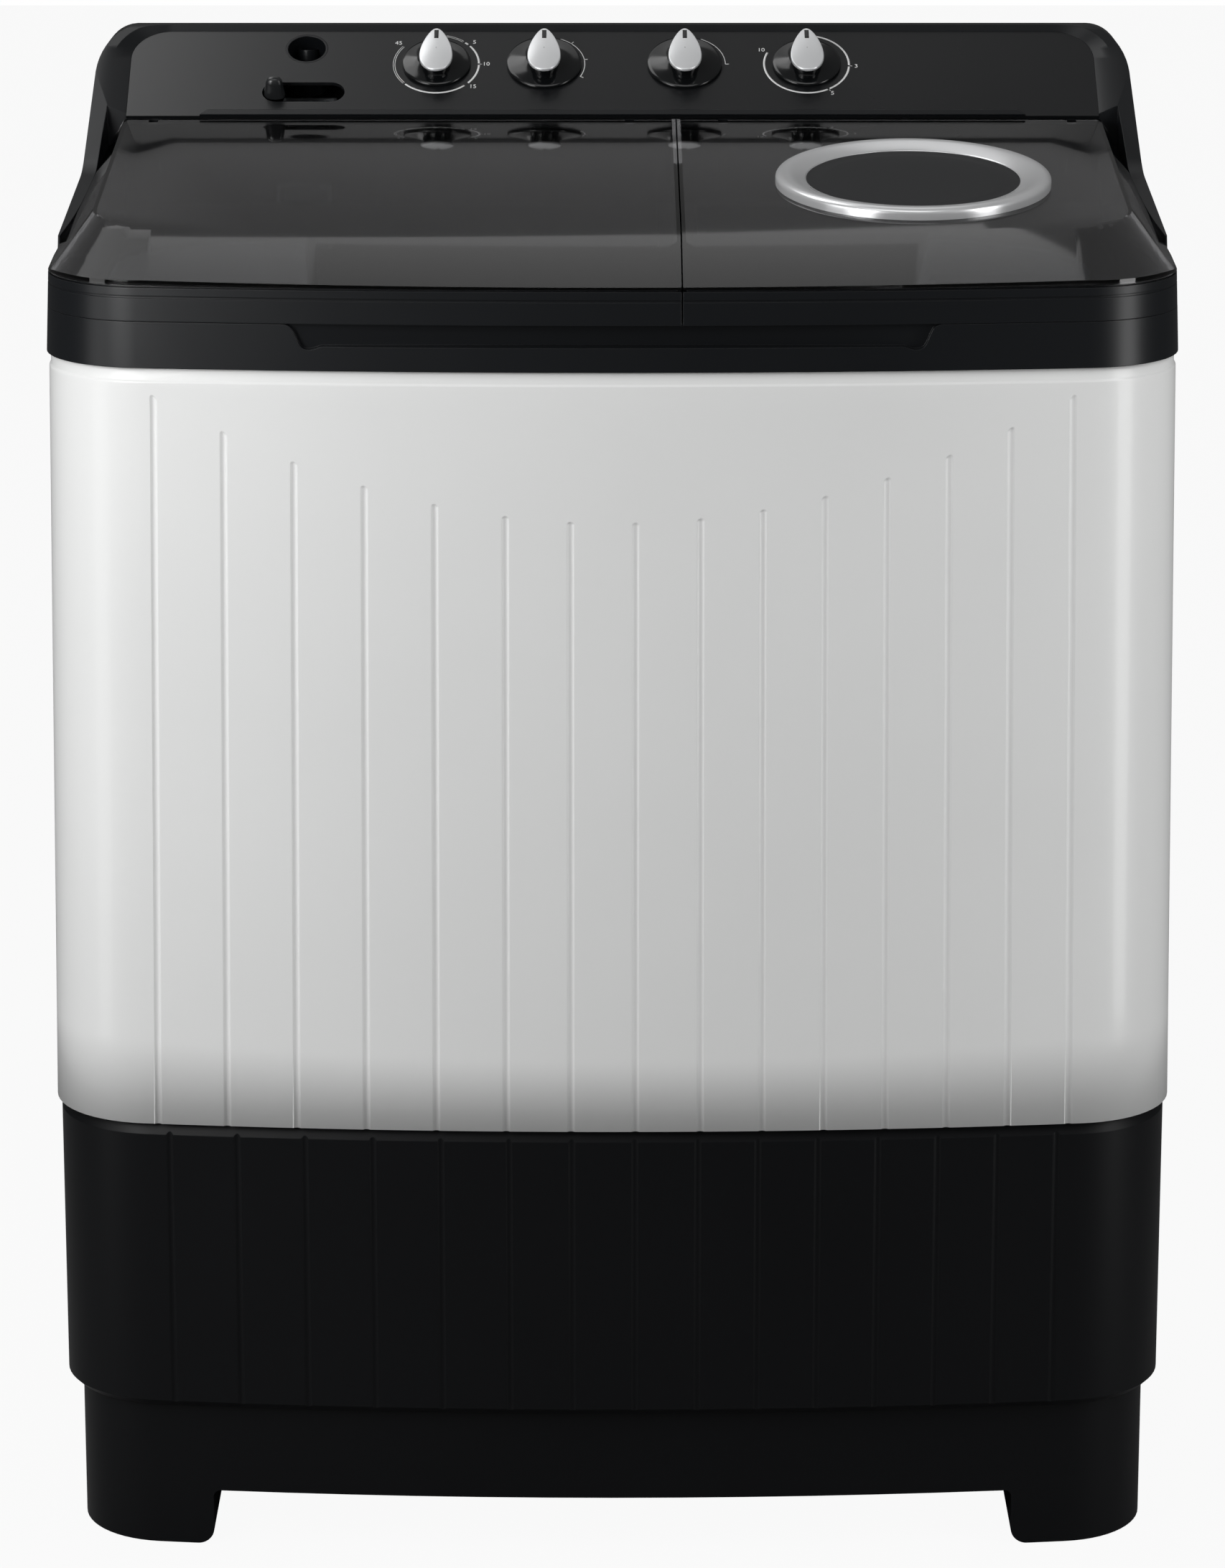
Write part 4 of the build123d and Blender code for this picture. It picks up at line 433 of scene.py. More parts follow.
@dataclass
class Flutes:
    """Grooves down the front: their places, width and depth, in millimetres."""

    first: float = -311.5
    pitches: Sequence[float] = (47.8,) * 5 + (44.1,) * 3 + (42.1,) * 6
    width: float = 4.8
    depth: float = 1.1
    low_top: float = 755.5
    high_top: float = 840.5

    def places(self) -> np.ndarray:
        """X of each groove."""
        return self.first + np.concatenate([[0.0], np.cumsum(self.pitches)])

    def tool(self) -> float:
        """Radius of the round groove."""
        return (self.depth ** 2 + (self.width / 2) ** 2) / (2 * self.depth)

    def tops(self, x: np.ndarray) -> np.ndarray:
        """Height of a groove's top at x: a sagging curve, low + (high - low) * share^2."""
        places = self.places()
        middle = (places[0] + places[-1]) / 2
        share = np.clip(np.abs(x - middle) / (places[-1] - middle), 0, 1.02)
        return self.low_top + (self.high_top - self.low_top) * share ** 2

    def shares(self, reach: float) -> np.ndarray:
        """Shares along the right half of the bow that catch every groove's profile."""
        steps = np.linspace(-0.62, 0.62, 13) * self.width
        near = (np.abs(self.places())[:, None] + steps[None, :]).ravel()
        wide = np.linspace(0.0, reach, 60)
        all_x = np.unique(np.round(np.concatenate([near, wide]), 2))
        return all_x[(all_x >= 0) & (all_x <= reach)] / reach

    def sink(self, x: np.ndarray, over: np.ndarray) -> np.ndarray:
        """Depth of the groove at x, where over is the height above its top.

        The groove is a round bar's print: sqrt(r^2 - t^2 - over^2) - (r - depth).
        """
        t = np.min(np.abs(x[..., None] - self.places()), axis=-1)
        lift = np.clip(over, 0.0, None)
        inside = self.tool() ** 2 - t ** 2 - lift ** 2
        return np.clip(np.sqrt(np.clip(inside, 0, None)) - (self.tool() - self.depth), 0, None)


# ---------------------------------------------------------------- cabinet
@dataclass
class Cabinet:
    """White wall with its flutes and the bevelled lip at its top.

    Attributes:
        foot: Height of the wall's lower edge, in millimetres as all the rest.
        lip: Height at which the bevelled lip starts.
        seam: Height of the seam under the deck's band.
        top: Height of the wall's upper edge, inside the band.
        half: Half width at the seam.
        flare: How much wider each side is at the foot.
        front: Y of the foremost point at the seam.
        back: Y of the back.
        corner: Radius of the front corners.
        rear: Radius of the back corners.
        bow: Radius of the bowed front.
        wall: Thickness of the wall.
        lip_set: How far the lip steps in.
        lap_set: How far the part inside the band steps in.
        opening_half: Half width of the rear opening.
        opening_foot: Height of the rear opening's lower edge.
        opening_top: Height of the rear opening's upper edge.
        groove_ease: Height over which a flute runs out at its top.
        flutes: The grooves down the front.
    """

    foot: float = 322.0
    lip: float = 852.0
    seam: float = 862.0
    top: float = 872.6
    half: float = 389.5
    flare: float = 7.5
    front: float = -238.5
    back: float = 236.0
    corner: float = 76.0
    rear: float = 18.0
    bow: float = 2953.02
    wall: float = 2.4
    lip_set: float = 1.2
    lap_set: float = 2.2
    opening_half: float = 345.0
    opening_foot: float = 368.0
    opening_top: float = 816.0
    groove_ease: float = 4.0
    flutes: Flutes = field(default_factory=Flutes)

    def plan(self, z: float, inset: float) -> Plan:
        """Plan of the wall at a height, drawn in by inset on the front and sides."""
        spread = self.flare * (self.seam - z) / (self.seam - self.foot)
        return Plan(
            self.half + spread - inset, self.front + inset, self.back,
            self.corner - inset, self.rear, self.bow,
        )

    def levels(self) -> list[tuple[float, float]]:
        """Height and inset of each row over the flutes, from the lip up."""
        lip = self.lip
        round_off = [(-0.6, 0.0), (0.0, 0.05), (0.5, 0.35), (1.1, 0.85), (1.8, self.lip_set)]
        lap = [
            (self.seam - 1.2, self.lip_set), (self.seam - 0.6, self.lap_set), (self.top, self.lap_set),
        ]
        return [(lip + rise, inset) for rise, inset in round_off] + lap

    def skin(self) -> Grid:
        """Grid of the wall.

        Each column is a place on the outline and each row a height. The rows of the fluted part
        follow the flutes' tops, so that every rounded end falls between the same rows.
        """
        high = self.plan(self.seam, 0)
        across = self.flutes.shares(high.bow * math.sin(high.arc_end()))
        shares = np.concatenate([np.linspace(0.0, 0.96, 9), np.linspace(0.975, 1.0, 3)])
        points, _ = high.whole(across, self.opening_half)
        tops = self.flutes.tops(points[:, 0])
        ease = self.groove_ease
        rows = []
        for share in shares:
            rows.append(self._row(self.foot + (tops - ease - self.foot) * share, across, tops))
        for lift in np.linspace(1.0 - ease, ease, 15):
            rows.append(self._row(tops + lift, across, tops))
        for share in np.linspace(0.0, 1.0, 6)[1:-1]:
            smooth = tops + ease + (self.lip - 2.0 - tops - ease) * share
            rows.append(self._row(smooth, across, tops))
        for z, inset in self.levels():
            rows.append(self._row(np.full_like(tops, z), across, tops, inset))
        return np.stack(rows) * MM

    def _row(
        self, z: np.ndarray, across: np.ndarray, tops: np.ndarray, inset: float = 0.0
    ) -> np.ndarray:
        """One row of the skin, with the flutes pressed in.

        Args:
            z: Height of each point.
            across: Shares along the right half of the bow.
            tops: Height of the nearest flute's top at each point.
            inset: How far the row is drawn in.

        Returns:
            Points of the row, in millimetres.
        """
        low, ways = self.plan(self.foot, inset).whole(across, self.opening_half)
        high, _ = self.plan(self.seam, inset).whole(across, self.opening_half)
        share = ((z - self.foot) / (self.seam - self.foot))[:, None]
        flat = low + (high - low) * share
        front = ways[:, 1] < -0.9
        sink = np.where(front, self.flutes.sink(high[:, 0], z - tops), 0.0)
        flat = flat - ways * sink[:, None]
        return np.concatenate([flat, z[:, None]], axis=1)

    def rail(self, low: float, high: float) -> Grid:
        """Strip of wall across the back between two heights."""
        x = np.linspace(self.opening_half, -self.opening_half, 9)
        z = np.linspace(low, high, 3)
        across, up = np.meshgrid(x, z)
        return np.stack([across, np.full_like(across, self.back), up], axis=-1) * MM

    def build(self) -> None:
        """Makes the wall and the two rails over and under the rear opening."""
        skin = grid_piece("cabinet_skin", self.skin(), WHITE_GLOSS, "casing")
        thicken(skin, self.wall)
        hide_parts("cabinet")
        rails = (("lower", self.foot, self.opening_foot), ("upper", self.opening_top, self.top))
        for name, low, high in rails:
            title = f"cabinet_rear_rail_{name}"
            rail = grid_piece(title, self.rail(low, high), WHITE_GLOSS, "casing")
            thicken(rail, self.wall)


# ---------------------------------------------------------------- console
@dataclass
class Panel:
    """Plane of the control panel: x across, s up its slope, lift over it, in millimetres."""

    angle: float = 34.5
    edge_y: float = 137.0
    edge_z: float = 983.0

    def place(self, x: np.ndarray, s: np.ndarray, lift: np.ndarray) -> np.ndarray:
        """Points in metres from places on the panel."""
        a = math.radians(self.angle)
        y = self.edge_y + s * math.cos(a) - lift * math.sin(a)
        z = self.edge_z + s * math.sin(a) + lift * math.cos(a)
        return np.stack(np.broadcast_arrays(x, y, z), axis=-1) * MM


@dataclass
class Dial:
    """One dial's knob: its trumpet skirt, grip, bright cap and pointer.

    Attributes:
        name: Name of the dial's body.
        x: Place across the panel, in millimetres as all the rest.
        skirt: Radius of the skirt.
        level: Place up the panel's slope.
        panel: The panel that it stands on.
        grip_top: Height of the grip over the panel.
        cap_wall: Height of the cap's short wall.
        crown: Height of the cap's crown.
        grip_length: Length of the egg outline.
        grip_width: Width of the egg outline.
        egg_lean: How much narrower one end of the egg is.
        waist_share: Waist of the trumpet, as a share of half the grip's width.
        flange: Height of the skirt's flat rim.
        steps: Points round each outline.
        pointer_half: Half width of the pointer's stripe.
        pointer_wall: Thickness of the stripe.
    """

    name: str
    x: float
    skirt: float
    level: float = 57.0
    panel: Panel = field(default_factory=Panel)
    grip_top: float = 13.2
    cap_wall: float = 1.5
    crown: float = 2.1
    grip_length: float = 46.0
    grip_width: float = 25.0
    egg_lean: float = 0.34
    waist_share: float = 0.9
    flange: float = 2.6
    steps: int = 96
    pointer_half: float = 1.6
    pointer_wall: float = 0.4

    def round(self) -> np.ndarray:
        """Angles round an outline, as one row."""
        return np.linspace(0, 2 * math.pi, self.steps, endpoint=False)[None, :]

    def egg(self, turn: np.ndarray) -> tuple[np.ndarray, np.ndarray]:
        """Egg outline: x = w sin(t) (1 - 0.34 cos(t)) / 1.06, s = l cos(t), narrow end up."""
        width, length = self.grip_width / 2, self.grip_length / 2
        lean = np.cos(turn)
        return width * np.sin(turn) * (1.0 - self.egg_lean * lean) / 1.06, length * lean

    def skirt_grid(self) -> Grid:
        """Trumpet from the panel up to the round of the grip.

        The radius falls with height as r = waist + (skirt - waist) * (1 - v)^2.4.
        """
        v = np.linspace(0, 1, 20)[:, None]
        turn = self.round()
        waist = self.grip_width / 2 * self.waist_share
        radius = waist + (self.skirt - waist) * (1 - v) ** 2.4
        lift = self.flange + (self.grip_top * 0.8 - self.flange) * v
        rim = np.array([[self.skirt - 0.4], [self.skirt], [self.skirt], [self.skirt - 0.3]])
        rim_lift = np.array([[0.6], [0.9], [2.0], [2.4]])
        radius = np.concatenate([rim, radius - 0.5 * (1 - v) ** 6]) + 0 * turn
        lift = np.concatenate([rim_lift, lift]) + 0 * turn
        across, along = radius * np.sin(turn), radius * np.cos(turn)
        return self.panel.place(self.x + across, self.level + along, lift)

    def grip_grid(self) -> Grid:
        """Dark grip under the cap: the egg outline drawn up, a little waisted."""
        turn = self.round()
        v = np.linspace(0, 1, 8)[:, None]
        across, along = self.egg(turn)
        size = 0.93 - 0.05 * np.sin(v * math.pi)
        lift = 3.0 + (self.grip_top - 3.0) * v
        return self.panel.place(self.x + across * size, self.level + along * size, lift + 0 * turn)

    def cap_grid(self) -> Grid:
        """Bright cap: the egg outline with a short wall, a tight round edge and a low crown.

        The edge follows size = 1 - 0.06 (1 - cos q), lift = wall + edge sin q; the crown
        falls away from its middle with the square of the share of the way out.
        """
        turn = self.round()
        across, along = self.egg(turn)
        q = np.linspace(0, math.pi / 2, 7)[1:]
        edge = 0.5 * self.crown
        inner = np.linspace(0.94, 0.02, 9)[1:]
        size = np.concatenate([[0.985, 1.0, 1.0], 1 - 0.06 * (1 - np.cos(q)), inner])[:, None]
        rise = np.concatenate([
            [0.0, 0.35, self.cap_wall], self.cap_wall + edge * np.sin(q),
            self.cap_wall + edge + (self.crown - edge) * (1 - (inner / 0.94) ** 2),
        ])[:, None]
        lift = self.grip_top + rise + 0 * turn
        return self.panel.place(self.x + across * size, self.level + along * size, lift)

    def pointer_grid(self) -> Grid:
        """Dark stripe let into the cap's narrow end, following its crown."""
        along = np.linspace(0.46, 0.88, 10)[:, None] * self.grip_length / 2
        across = np.linspace(-self.pointer_half, self.pointer_half, 5)[None, :]
        share = along / (self.grip_length / 2) / 0.94
        crown = self.grip_top + self.cap_wall + self.crown * (1 - 0.5 * share ** 2)
        return self.panel.place(self.x + across, self.level + along, crown + 0.1)

    def build(self) -> None:
        """Makes the pieces of the knob on its own body."""
        name = self.name
        skirt = grid_piece(f"{name}_skirt", self.skirt_grid(), KNOB_BLACK, name, closed=True)
        grid_piece(f"{name}_grip", self.grip_grid(), KNOB_BLACK, name, closed=True)
        cap = grid_piece(f"{name}_cap_shell", self.cap_grid(), CAP_SILVER, name, closed=True)
        pointer = grid_piece(f"{name}_pointer", self.pointer_grid(), KNOB_BLACK, name)
        thicken(pointer, self.pointer_wall)
        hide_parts(f"{name}_knob")
        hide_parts(f"{name}_cap")


@dataclass
class Lever:
    """Dark dome of the water selector, standing in its slot.

    Attributes:
        x: Place across the panel, in millimetres as all the rest.
        s: Place up the panel's slope.
        foot: Height of its lower end, inside the slot.
        shoulder: Height at which the dome starts.
        crown: Height of the dome.
        half_across: Half width at the foot and how much it loses up to the shoulder.
        half_along: Half depth at the foot and how much it loses up to the shoulder.
        roundness: Power that squares the outline and the dome a little.
        panel: The panel that it stands in.
    """

    x: float = -251.3
    s: float = 26.2
    foot: float = -3.0
    shoulder: float = 8.5
    crown: float = 6.0
    half_across: tuple[float, float] = (8.0, 1.6)
    half_along: tuple[float, float] = (5.2, 0.6)
    roundness: float = 0.8
    panel: Panel = field(default_factory=Panel)

    def squared(self, wave: np.ndarray) -> np.ndarray:
        """The wave's absolute value to the power of the roundness, with its sign kept."""
        return np.sign(wave) * np.abs(wave) ** self.roundness

    def grid(self) -> Grid:
        """Tapered post with a domed top.

        Below the shoulder the halves fall straight; above it they shrink with cos q to the power
        of the roundness, while the height grows with sin q.
        """
        turn = np.linspace(0, 2 * math.pi, 64, endpoint=False)[None, :]
        rise = np.linspace(0, 1, 8)
        q = np.linspace(0, 0.497 * math.pi, 14)[1:]
        size = np.concatenate([np.ones_like(rise), np.cos(q) ** self.roundness])[:, None]
        share = np.concatenate([rise, np.ones_like(q)])[:, None]
        post = self.foot + (self.shoulder - self.foot) * rise
        lift = np.concatenate([post, self.shoulder + self.crown * np.sin(q)])[:, None]
        width, width_loss = self.half_across
        depth, depth_loss = self.half_along
        across = (width - width_loss * share) * size * self.squared(np.cos(turn))
        along = (depth - depth_loss * share) * size * self.squared(np.sin(turn))
        return self.panel.place(self.x + across, self.s + along, lift)

    def build(self) -> None:
        """Makes the dome on its own body."""
        dome = grid_piece("water_lever_dome", self.grid(), LEVER, "water_lever", closed=True)
        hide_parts("water_selector_lever")


@dataclass
class Print:
    """Printed arcs, ticks and numbers on the panel.

    Attributes:
        panel: The panel that they are printed on.
        lift: Height of the print over the panel, in millimetres as all the rest.
        film: Thickness of the print.
        level: Place of the dials up the panel's slope.
        ring: Radius of the timers' arcs.
        hair_ring: Radius of the selectors' hair lines.
        number_gap: How far outside the ring the numbers stand.
        number_size: Height of the numbers' type.
        number_rise: Half thickness of the numbers.
        bold: Width of the timers' arcs.
        hair: Width of the hair lines.
    """

    panel: Panel = field(default_factory=Panel)
    lift: float = 0.08
    film: float = 0.05
    level: float = 57.0
    ring: float = 31.7
    hair_ring: float = 30.3
    number_gap: float = 5.4
    number_size: float = 5.6
    number_rise: float = 0.03
    bold: float = 1.5
    hair: float = 0.6

    def arc(
        self, name: str, x: float, radius: float, start: float, end: float, width: float
    ) -> None:
        """Prints an arc round a dial.

        Args:
            name: Name of the piece.
            x: Place of the dial across the panel.
            radius: Middle radius of the arc.
            start: Where it starts, in degrees clockwise from the top.
            end: Where it ends, in the same degrees.
            width: Width of the line.
        """
        turn = np.radians(np.linspace(start, end, max(int(abs(end - start) / 3), 4)))[:, None]
        r = np.array([radius - width / 2, radius + width / 2])[None, :]
        grid = self.panel.place(x + r * np.sin(turn), self.level + r * np.cos(turn), self.lift)
        thicken(grid_piece(name, grid, PRINT_WHITE, "casing", flip=True), self.film)

    def tick(
        self, name: str, x: float, turn: float, start: float, end: float, width: float
    ) -> None:
        """Prints a short radial line beside a dial.

        Args:
            name: Name of the piece.
            x: Place of the dial across the panel.
            turn: Its direction, in degrees clockwise from the top.
            start: Radius at which it starts.
            end: Radius at which it ends.
            width: Width of the line.
        """
        a = math.radians(turn)
        r = np.array([start, end])[:, None]
        side = np.array([-width / 2, width / 2])[None, :]
        across = r * math.sin(a) + side * math.cos(a)
        along = r * math.cos(a) - side * math.sin(a)
        grid = self.panel.place(x + across, self.level + along, self.lift)
        thicken(grid_piece(name, grid, PRINT_WHITE, "casing"), self.film)

    def number(self, name: str, text: str, x: float, s: float) -> None:
        """Prints a plain number, as a mesh in its place.

        Args:
            name: Name of the piece.
            text: The number.
            x: Place of its middle across the panel.
            s: Place of its middle up the slope.
        """
        curve = bpy.data.curves.new(name, "FONT")
        curve.body = text
        curve.size = self.number_size
        curve.align_x = "CENTER"
        curve.align_y = "CENTER"
        curve.extrude = self.number_rise
        curve.resolution_u = 3
        holder = bpy.data.objects.new(name, curve)
        bpy.context.scene.collection.objects.link(holder)
        bpy.context.view_layer.update()
        graph = bpy.context.evaluated_depsgraph_get()
        mesh = bpy.data.meshes.new_from_object(holder.evaluated_get(graph))
        bpy.data.objects.remove(holder)
        flat = np.empty(len(mesh.vertices) * 3)
        mesh.vertices.foreach_get("co", flat)
        flat = flat.reshape(-1, 3)
        placed = self.panel.place(x + flat[:, 0], s + flat[:, 1], self.lift + flat[:, 2])
        mesh.vertices.foreach_set("co", placed.ravel())
        mesh.materials.clear()
        mesh.materials.append(PRINT_WHITE.material())
        piece = bpy.data.objects.new(name, mesh)
        bpy.context.scene.collection.objects.link(piece)
        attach(piece, "casing")

    def double(self, name: str, x: float, start: float, end: float) -> None:
        """Prints two hair lines side by side round a dial."""
        for side in (-1, 1):
            self.arc(f"{name}_{side + 1}", x, self.ring + side * 0.65, start, end, 0.42)

    def minutes(self, name: str, x: float, marks: dict[str, float]) -> None:
        """Prints a timer's numbers outside its ring."""
        for text, turn in marks.items():
            a = math.radians(turn)
            reach = self.ring + self.number_gap
            across, along = reach * math.sin(a), reach * math.cos(a)
            self.number(f"{name}_{text}", text, x + across, self.level + along)

    def selector(self, name: str, x: float, stops: Sequence[float]) -> None:
        """Prints a selector's hair line, broken at each stop by a short outward tick."""
        for number, (start, end) in enumerate(zip(stops, stops[1:])):
            self.arc(f"{name}_arc_{number}", x, self.hair_ring, start + 1.5, end, self.hair)
            low, high = self.hair_ring - self.hair / 2, self.hair_ring + 2.6
            self.tick(f"{name}_tick_{number}", x, end, low, high, self.hair)

    def build(self, dials: Sequence[Dial]) -> None:
        """Prints round all four dials."""
        places = {dial.name: dial.x for dial in dials}
        wash, spin = places["wash_timer"], places["spin_timer"]
        wash_spans = ((41.5, 47.0), (51.0, 88.5), (91.5, 131.0), (138.0, 226.0))
        for number, (start, end) in enumerate(wash_spans):
            self.arc(f"wash_timer_arc_{number}", wash, self.ring, start, end, self.bold)
        self.double("wash_timer_mix_arc", wash, 12.0, 38.0)
        self.double("wash_timer_long_arc", wash, 229.0, 308.0)
        self.minutes("wash_timer_minutes", wash, {"5": 49.0, "10": 90.0, "15": 132.0, "45": 309.0})
        spin_spans = ((8.0, 92.0), (95.0, 148.5), (151.5, 294.0))
        for number, (start, end) in enumerate(spin_spans):
            self.arc(f"spin_timer_arc_{number}", spin, self.ring, start, end, self.bold)
        self.minutes("spin_timer_minutes", spin, {"3": 93.5, "5": 150.0, "10": 295.0})
        for number, (x, turn) in enumerate(((wash, 90.0), (spin, 93.5), (spin, 150.0))):
            self.tick(f"timer_tick_{number}", x, turn, self.ring + 0.7, self.ring + 2.4, 0.5)
        self.selector("wash_selector_print", places["wash_selector"], [22.0, 41.5, 80.5, 117.0])
        self.selector("drain_selector_print", places["drain_selector"], [22.0, 90.0])


# ---------------------------------------------------------------- lids
@dataclass
class SpinRing:
    """Satin chrome ring with its dished inner slope and the dull disc inside it.

    Attributes:
        x: Place of the middle across, in millimetres as all the rest.
        y: Place of the middle from front to back.
        slope: Rise of the lid per unit of depth.
        top_z: Height of the lid's upper edge.
        top_y: Y of the lid's upper edge.
        outer: Outer radius of the ring.
        inner: Inner radius of the ring.
        disc_gap: Gap between the disc and the ring.
        steps: Points round each turn.
    """

    x: float = 212.5
    y: float = -43.0
    slope: float = 0.114
    top_z: float = 981.0
    top_y: float = 134.5
    outer: float = 97.5
    inner: float = 75.6
    disc_gap: float = 0.15
    steps: int = 160

    def turned(self, radii: np.ndarray, lifts: np.ndarray) -> Grid:
        """Profile turned round the upright of the sloping lid.

        Args:
            radii: Radius of each profile point, in millimetres.
            lifts: Height of each profile point over the lid.

        Returns:
            Grid in metres.
        """
        turn = np.linspace(0, 2 * math.pi, self.steps, endpoint=False)[None, :]
        radius, lift = radii[:, None], lifts[:, None]
        tilt = math.atan(self.slope)
        across = radius * np.cos(turn)
        along = radius * np.sin(turn)
        z0 = self.top_z - self.slope * (self.top_y - self.y)
        x = self.x + across
        y = self.y + along * math.cos(tilt) - lift * math.sin(tilt)
        z = z0 + along * math.sin(tilt) + lift * math.cos(tilt) + 0 * turn
        return np.stack(np.broadcast_arrays(x, y, z), axis=-1) * MM

    def build(self) -> None:
        """Makes the ring and the disc.

        The ring's outer shoulder is a quarter round of 5.2 by 4; from its crest a slope runs down
        to the inner edge. The disc is dished with the square of the radius and has a fine groove
        near its rim.
        """
        r, i = self.outer, self.inner
        crest = np.linspace(0, math.pi / 2, 7)
        shoulder = r - 5.2 + 5.2 * np.cos(crest)
        radii = np.concatenate([[r, r], shoulder, [r - 10.5, i + 1.2, i, i]])
        lifts = np.concatenate([[-0.5, 2.0], 4.0 + 4.0 * np.sin(crest), [7.6, 3.9, 3.2, -0.5]])
        shell = self.turned(radii, lifts)
        ring = grid_piece("spin_ring_shell", shell, SATIN_CHROME, "spin_lid", closed=True)
        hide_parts("spin_lid_ring")
        share = np.linspace(1.0, 0.004, 24)
        dish = 2.4 + 0.8 * share ** 2 - 0.5 * np.exp(-((share - 0.93) / 0.02) ** 2)
        face = self.turned(share * (i - self.disc_gap), dish)
        disc = grid_piece("spin_disc_face", face, MATT_DISC, "spin_lid", closed=True)
        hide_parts("spin_lid_disc")


# ---------------------------------------------------------------- studio
@dataclass
class Studio:
    """Camera at the viewing place, pale floor and soft lamps.

    Attributes:
        distance: How far the camera stands in front of the middle, in metres.
        height: Its height, in metres.
        pitch: How far it looks down, in degrees.
        lens: Its focal length, in millimetres.
        shift: Vertical shift of the picture.
        floor_colour: Colour of the floor, linear.
        ambient_low: Strength of the world's light near the horizon.
        ambient_high: Its strength overhead.
        horizon: Where its strength starts and stops rising, as the ray's upward share.
        floor_glow: Share of plain white in what the camera sees of the floor.
        lamps: Name, place, aim, size and watts of each lamp, in metres.
    """

    distance: float = 3.6666
    height: float = 1.5219
    pitch: float = 13.369
    lens: float = 118.67
    shift: float = -0.12
    floor_colour: Colour = (0.30, 0.30, 0.30)
    ambient_low: float = 0.05
    ambient_high: float = 0.17
    horizon: tuple[float, float] = (0.05, 0.45)
    floor_glow: float = 0.94
    lamps: tuple[LampRow, ...] = (
        ("key", (-0.95, -1.20, 1.20), (-0.25, -0.2, 0.62), (0.6, 0.9), 13.0),
        ("strip_left", (-1.09, -0.63, 0.80), (-0.35, -0.2, 0.6), (0.3, 1.6), 2.6),
        ("strip_right", (1.09, -0.63, 0.80), (0.35, -0.2, 0.5), (0.3, 1.6), 7.0),
        ("top", (-0.25, -1.40, 3.0), (-0.1, -0.2, 0.9), (2.0, 1.0), 9.0),
        ("back", (-0.50, 1.25, 3.0), (-0.1, -0.2, 0.9), (2.4, 1.3), 5.5),
        ("panel", (-1.15, 0.55, 2.8), (-0.3, 0.2, 1.0), (1.2, 1.2), 10.0),
    )

    def camera(self) -> None:
        """Sets the camera."""
        data = bpy.data.cameras.new("view")
        data.lens = self.lens
        data.sensor_width = 36.0
        data.sensor_fit = "AUTO"
        data.shift_y = self.shift
        data.clip_end = 60.0
        holder = bpy.data.objects.new("view", data)
        holder.location = (0.0, -self.distance, self.height)
        holder.rotation_euler = (math.radians(90.0 - self.pitch), 0.0, 0.0)
        bpy.context.scene.collection.objects.link(holder)
        bpy.context.scene.camera = holder

    def lamp(
        self, name: str, place: Place, aim: Place, size: tuple[float, float], power: float
    ) -> None:
        """Hangs one soft rectangular lamp.

        Args:
            name: Name of the lamp.
            place: Where it hangs, in metres.
            aim: Point that it faces.
            size: Its width and height.
            power: Watts.
        """
        data = bpy.data.lights.new(name, "AREA")
        data.shape = "RECTANGLE"
        data.size, data.size_y = size
        data.energy = power
        holder = bpy.data.objects.new(name, data)
        holder.location = place
        holder.rotation_euler = (Vector(aim) - Vector(place)).to_track_quat("-Z", "Y").to_euler()
        bpy.context.scene.collection.objects.link(holder)

    def world(self) -> None:
        """White to the eye and through clear parts, dimmer in reflections and as a source of light."""
        made = bpy.data.worlds.new("studio")
        made.use_nodes = True
        bpy.context.scene.world = made
        nodes, links = made.node_tree.nodes, made.node_tree.links
        background = nodes["Background"]
        background.inputs["Color"].default_value = (1.0, 1.0, 1.0, 1.0)
        place = nodes.new("ShaderNodeTexCoord")
        parts = nodes.new("ShaderNodeSeparateXYZ")
        links.new(place.outputs["Generated"], parts.inputs["Vector"])
        rise = nodes.new("ShaderNodeMapRange")
        rise.inputs["From Min"].default_value, rise.inputs["From Max"].default_value = self.horizon
        rise.inputs["To Min"].default_value = self.ambient_low
        rise.inputs["To Max"].default_value = self.ambient_high
        links.new(parts.outputs["Z"], rise.inputs["Value"])
        path = nodes.new("ShaderNodeLightPath")
        seen = nodes.new("ShaderNodeMath")
        seen.operation = "MAXIMUM"
        links.new(path.outputs["Is Camera Ray"], seen.inputs[0])
        links.new(path.outputs["Is Transmission Ray"], seen.inputs[1])
        span = nodes.new("ShaderNodeMapRange")
        span.inputs["To Max"].default_value = 1.0
        links.new(seen.outputs["Value"], span.inputs["Value"])
        links.new(rise.outputs["Result"], span.inputs["To Min"])
        links.new(span.outputs["Result"], background.inputs["Strength"])

    def floor(self) -> None:
        """Wide pale floor."""
        x = np.linspace(-9, 9, 3)[None, :]
        y = np.linspace(-6, 9, 5)[:, None]
        grid = np.stack(np.broadcast_arrays(x, y, -0.0002), axis=-1)
        faces = grid_faces(grid.shape[0], grid.shape[1])
        mesh = bpy.data.meshes.new("floor")
        mesh.from_pydata(grid.reshape(-1, 3).tolist(), [], faces.tolist())
        plane = bpy.data.objects.new("floor", mesh)
        bpy.context.scene.collection.objects.link(plane)
        mesh.materials.append(self.floor_material())

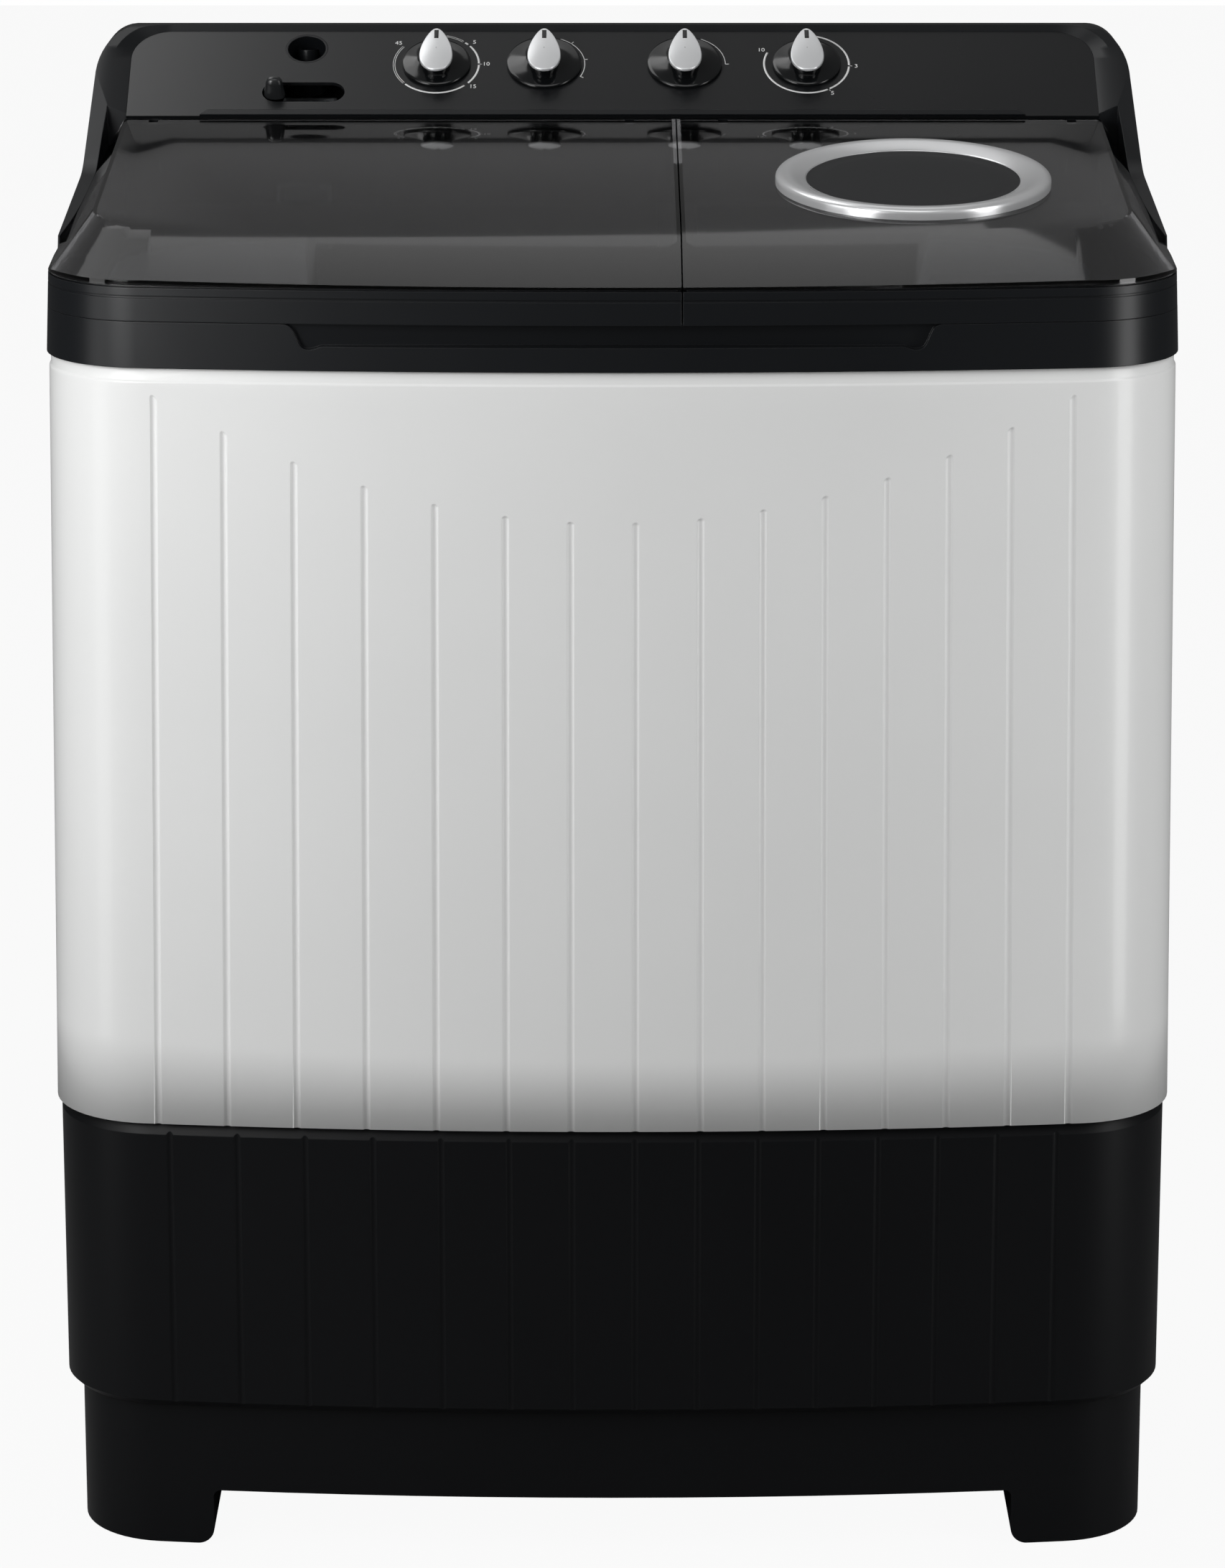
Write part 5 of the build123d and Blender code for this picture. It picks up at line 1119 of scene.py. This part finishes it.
    def floor_material(self) -> bpy.types.Material:
        """Pale matt floor that the camera sees mostly as white light, with a faint shadow."""
        made = Finish("pale_floor", self.floor_colour, 0.8, 0.01, specular=0.1).material()
        nodes, links = made.node_tree.nodes, made.node_tree.links
        glow = nodes.new("ShaderNodeEmission")
        glow.inputs["Color"].default_value = (1.0, 1.0, 1.0, 1.0)
        glow.inputs["Strength"].default_value = 1.0
        path = nodes.new("ShaderNodeLightPath")
        share = nodes.new("ShaderNodeMapRange")
        share.inputs["To Max"].default_value = self.floor_glow
        links.new(path.outputs["Is Camera Ray"], share.inputs["Value"])
        mix = nodes.new("ShaderNodeMixShader")
        links.new(share.outputs["Result"], mix.inputs["Fac"])
        links.new(nodes["Principled BSDF"].outputs["BSDF"], mix.inputs[1])
        links.new(glow.outputs["Emission"], mix.inputs[2])
        links.new(mix.outputs["Shader"], nodes["Material Output"].inputs["Surface"])
        return made

    def build(self) -> None:
        """Sets up the whole studio."""
        bpy.context.scene.view_settings.view_transform = "Standard"
        self.camera()
        self.world()
        self.floor()
        for name, place, aim, size, power in self.lamps:
            self.lamp(name, place, aim, size, power)
        LOG.info("studio ready")


# ---------------------------------------------------------------- main
def dress_nodes(frame: dict[str, Any]) -> None:
    """Puts on every CAD node the finish that its material slot names."""
    slots = {row["node"]: row["material_slot"] for row in frame["record"]["subparts"]}
    special = {"water_selector_lever": LEVER, "inlet_nipple": DECK_DARK}
    for name, node in frame["nodes"].items():
        dress(node, special.get(name, FINISHES[slots[name]]))
    LOG.info("dressed %d CAD nodes", len(slots))


def main() -> None:
    """Builds the washer's visible pieces in order and the studio round them."""
    logging.basicConfig(level=logging.INFO, format="%(name)s: %(message)s")
    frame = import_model()
    Studio().build()
    dress_nodes(frame)
    Cabinet().build()
    dials = [
        Dial("wash_timer", -131.5, 25.5), Dial("wash_selector", -51.0, 28.0),
        Dial("drain_selector", 54.0, 28.0), Dial("spin_timer", 145.0, 25.5),
    ]
    for dial in dials:
        dial.build()
    Lever().build()
    Print().build(dials)
    SpinRing().build()


if __name__ == "__main__":
    main()
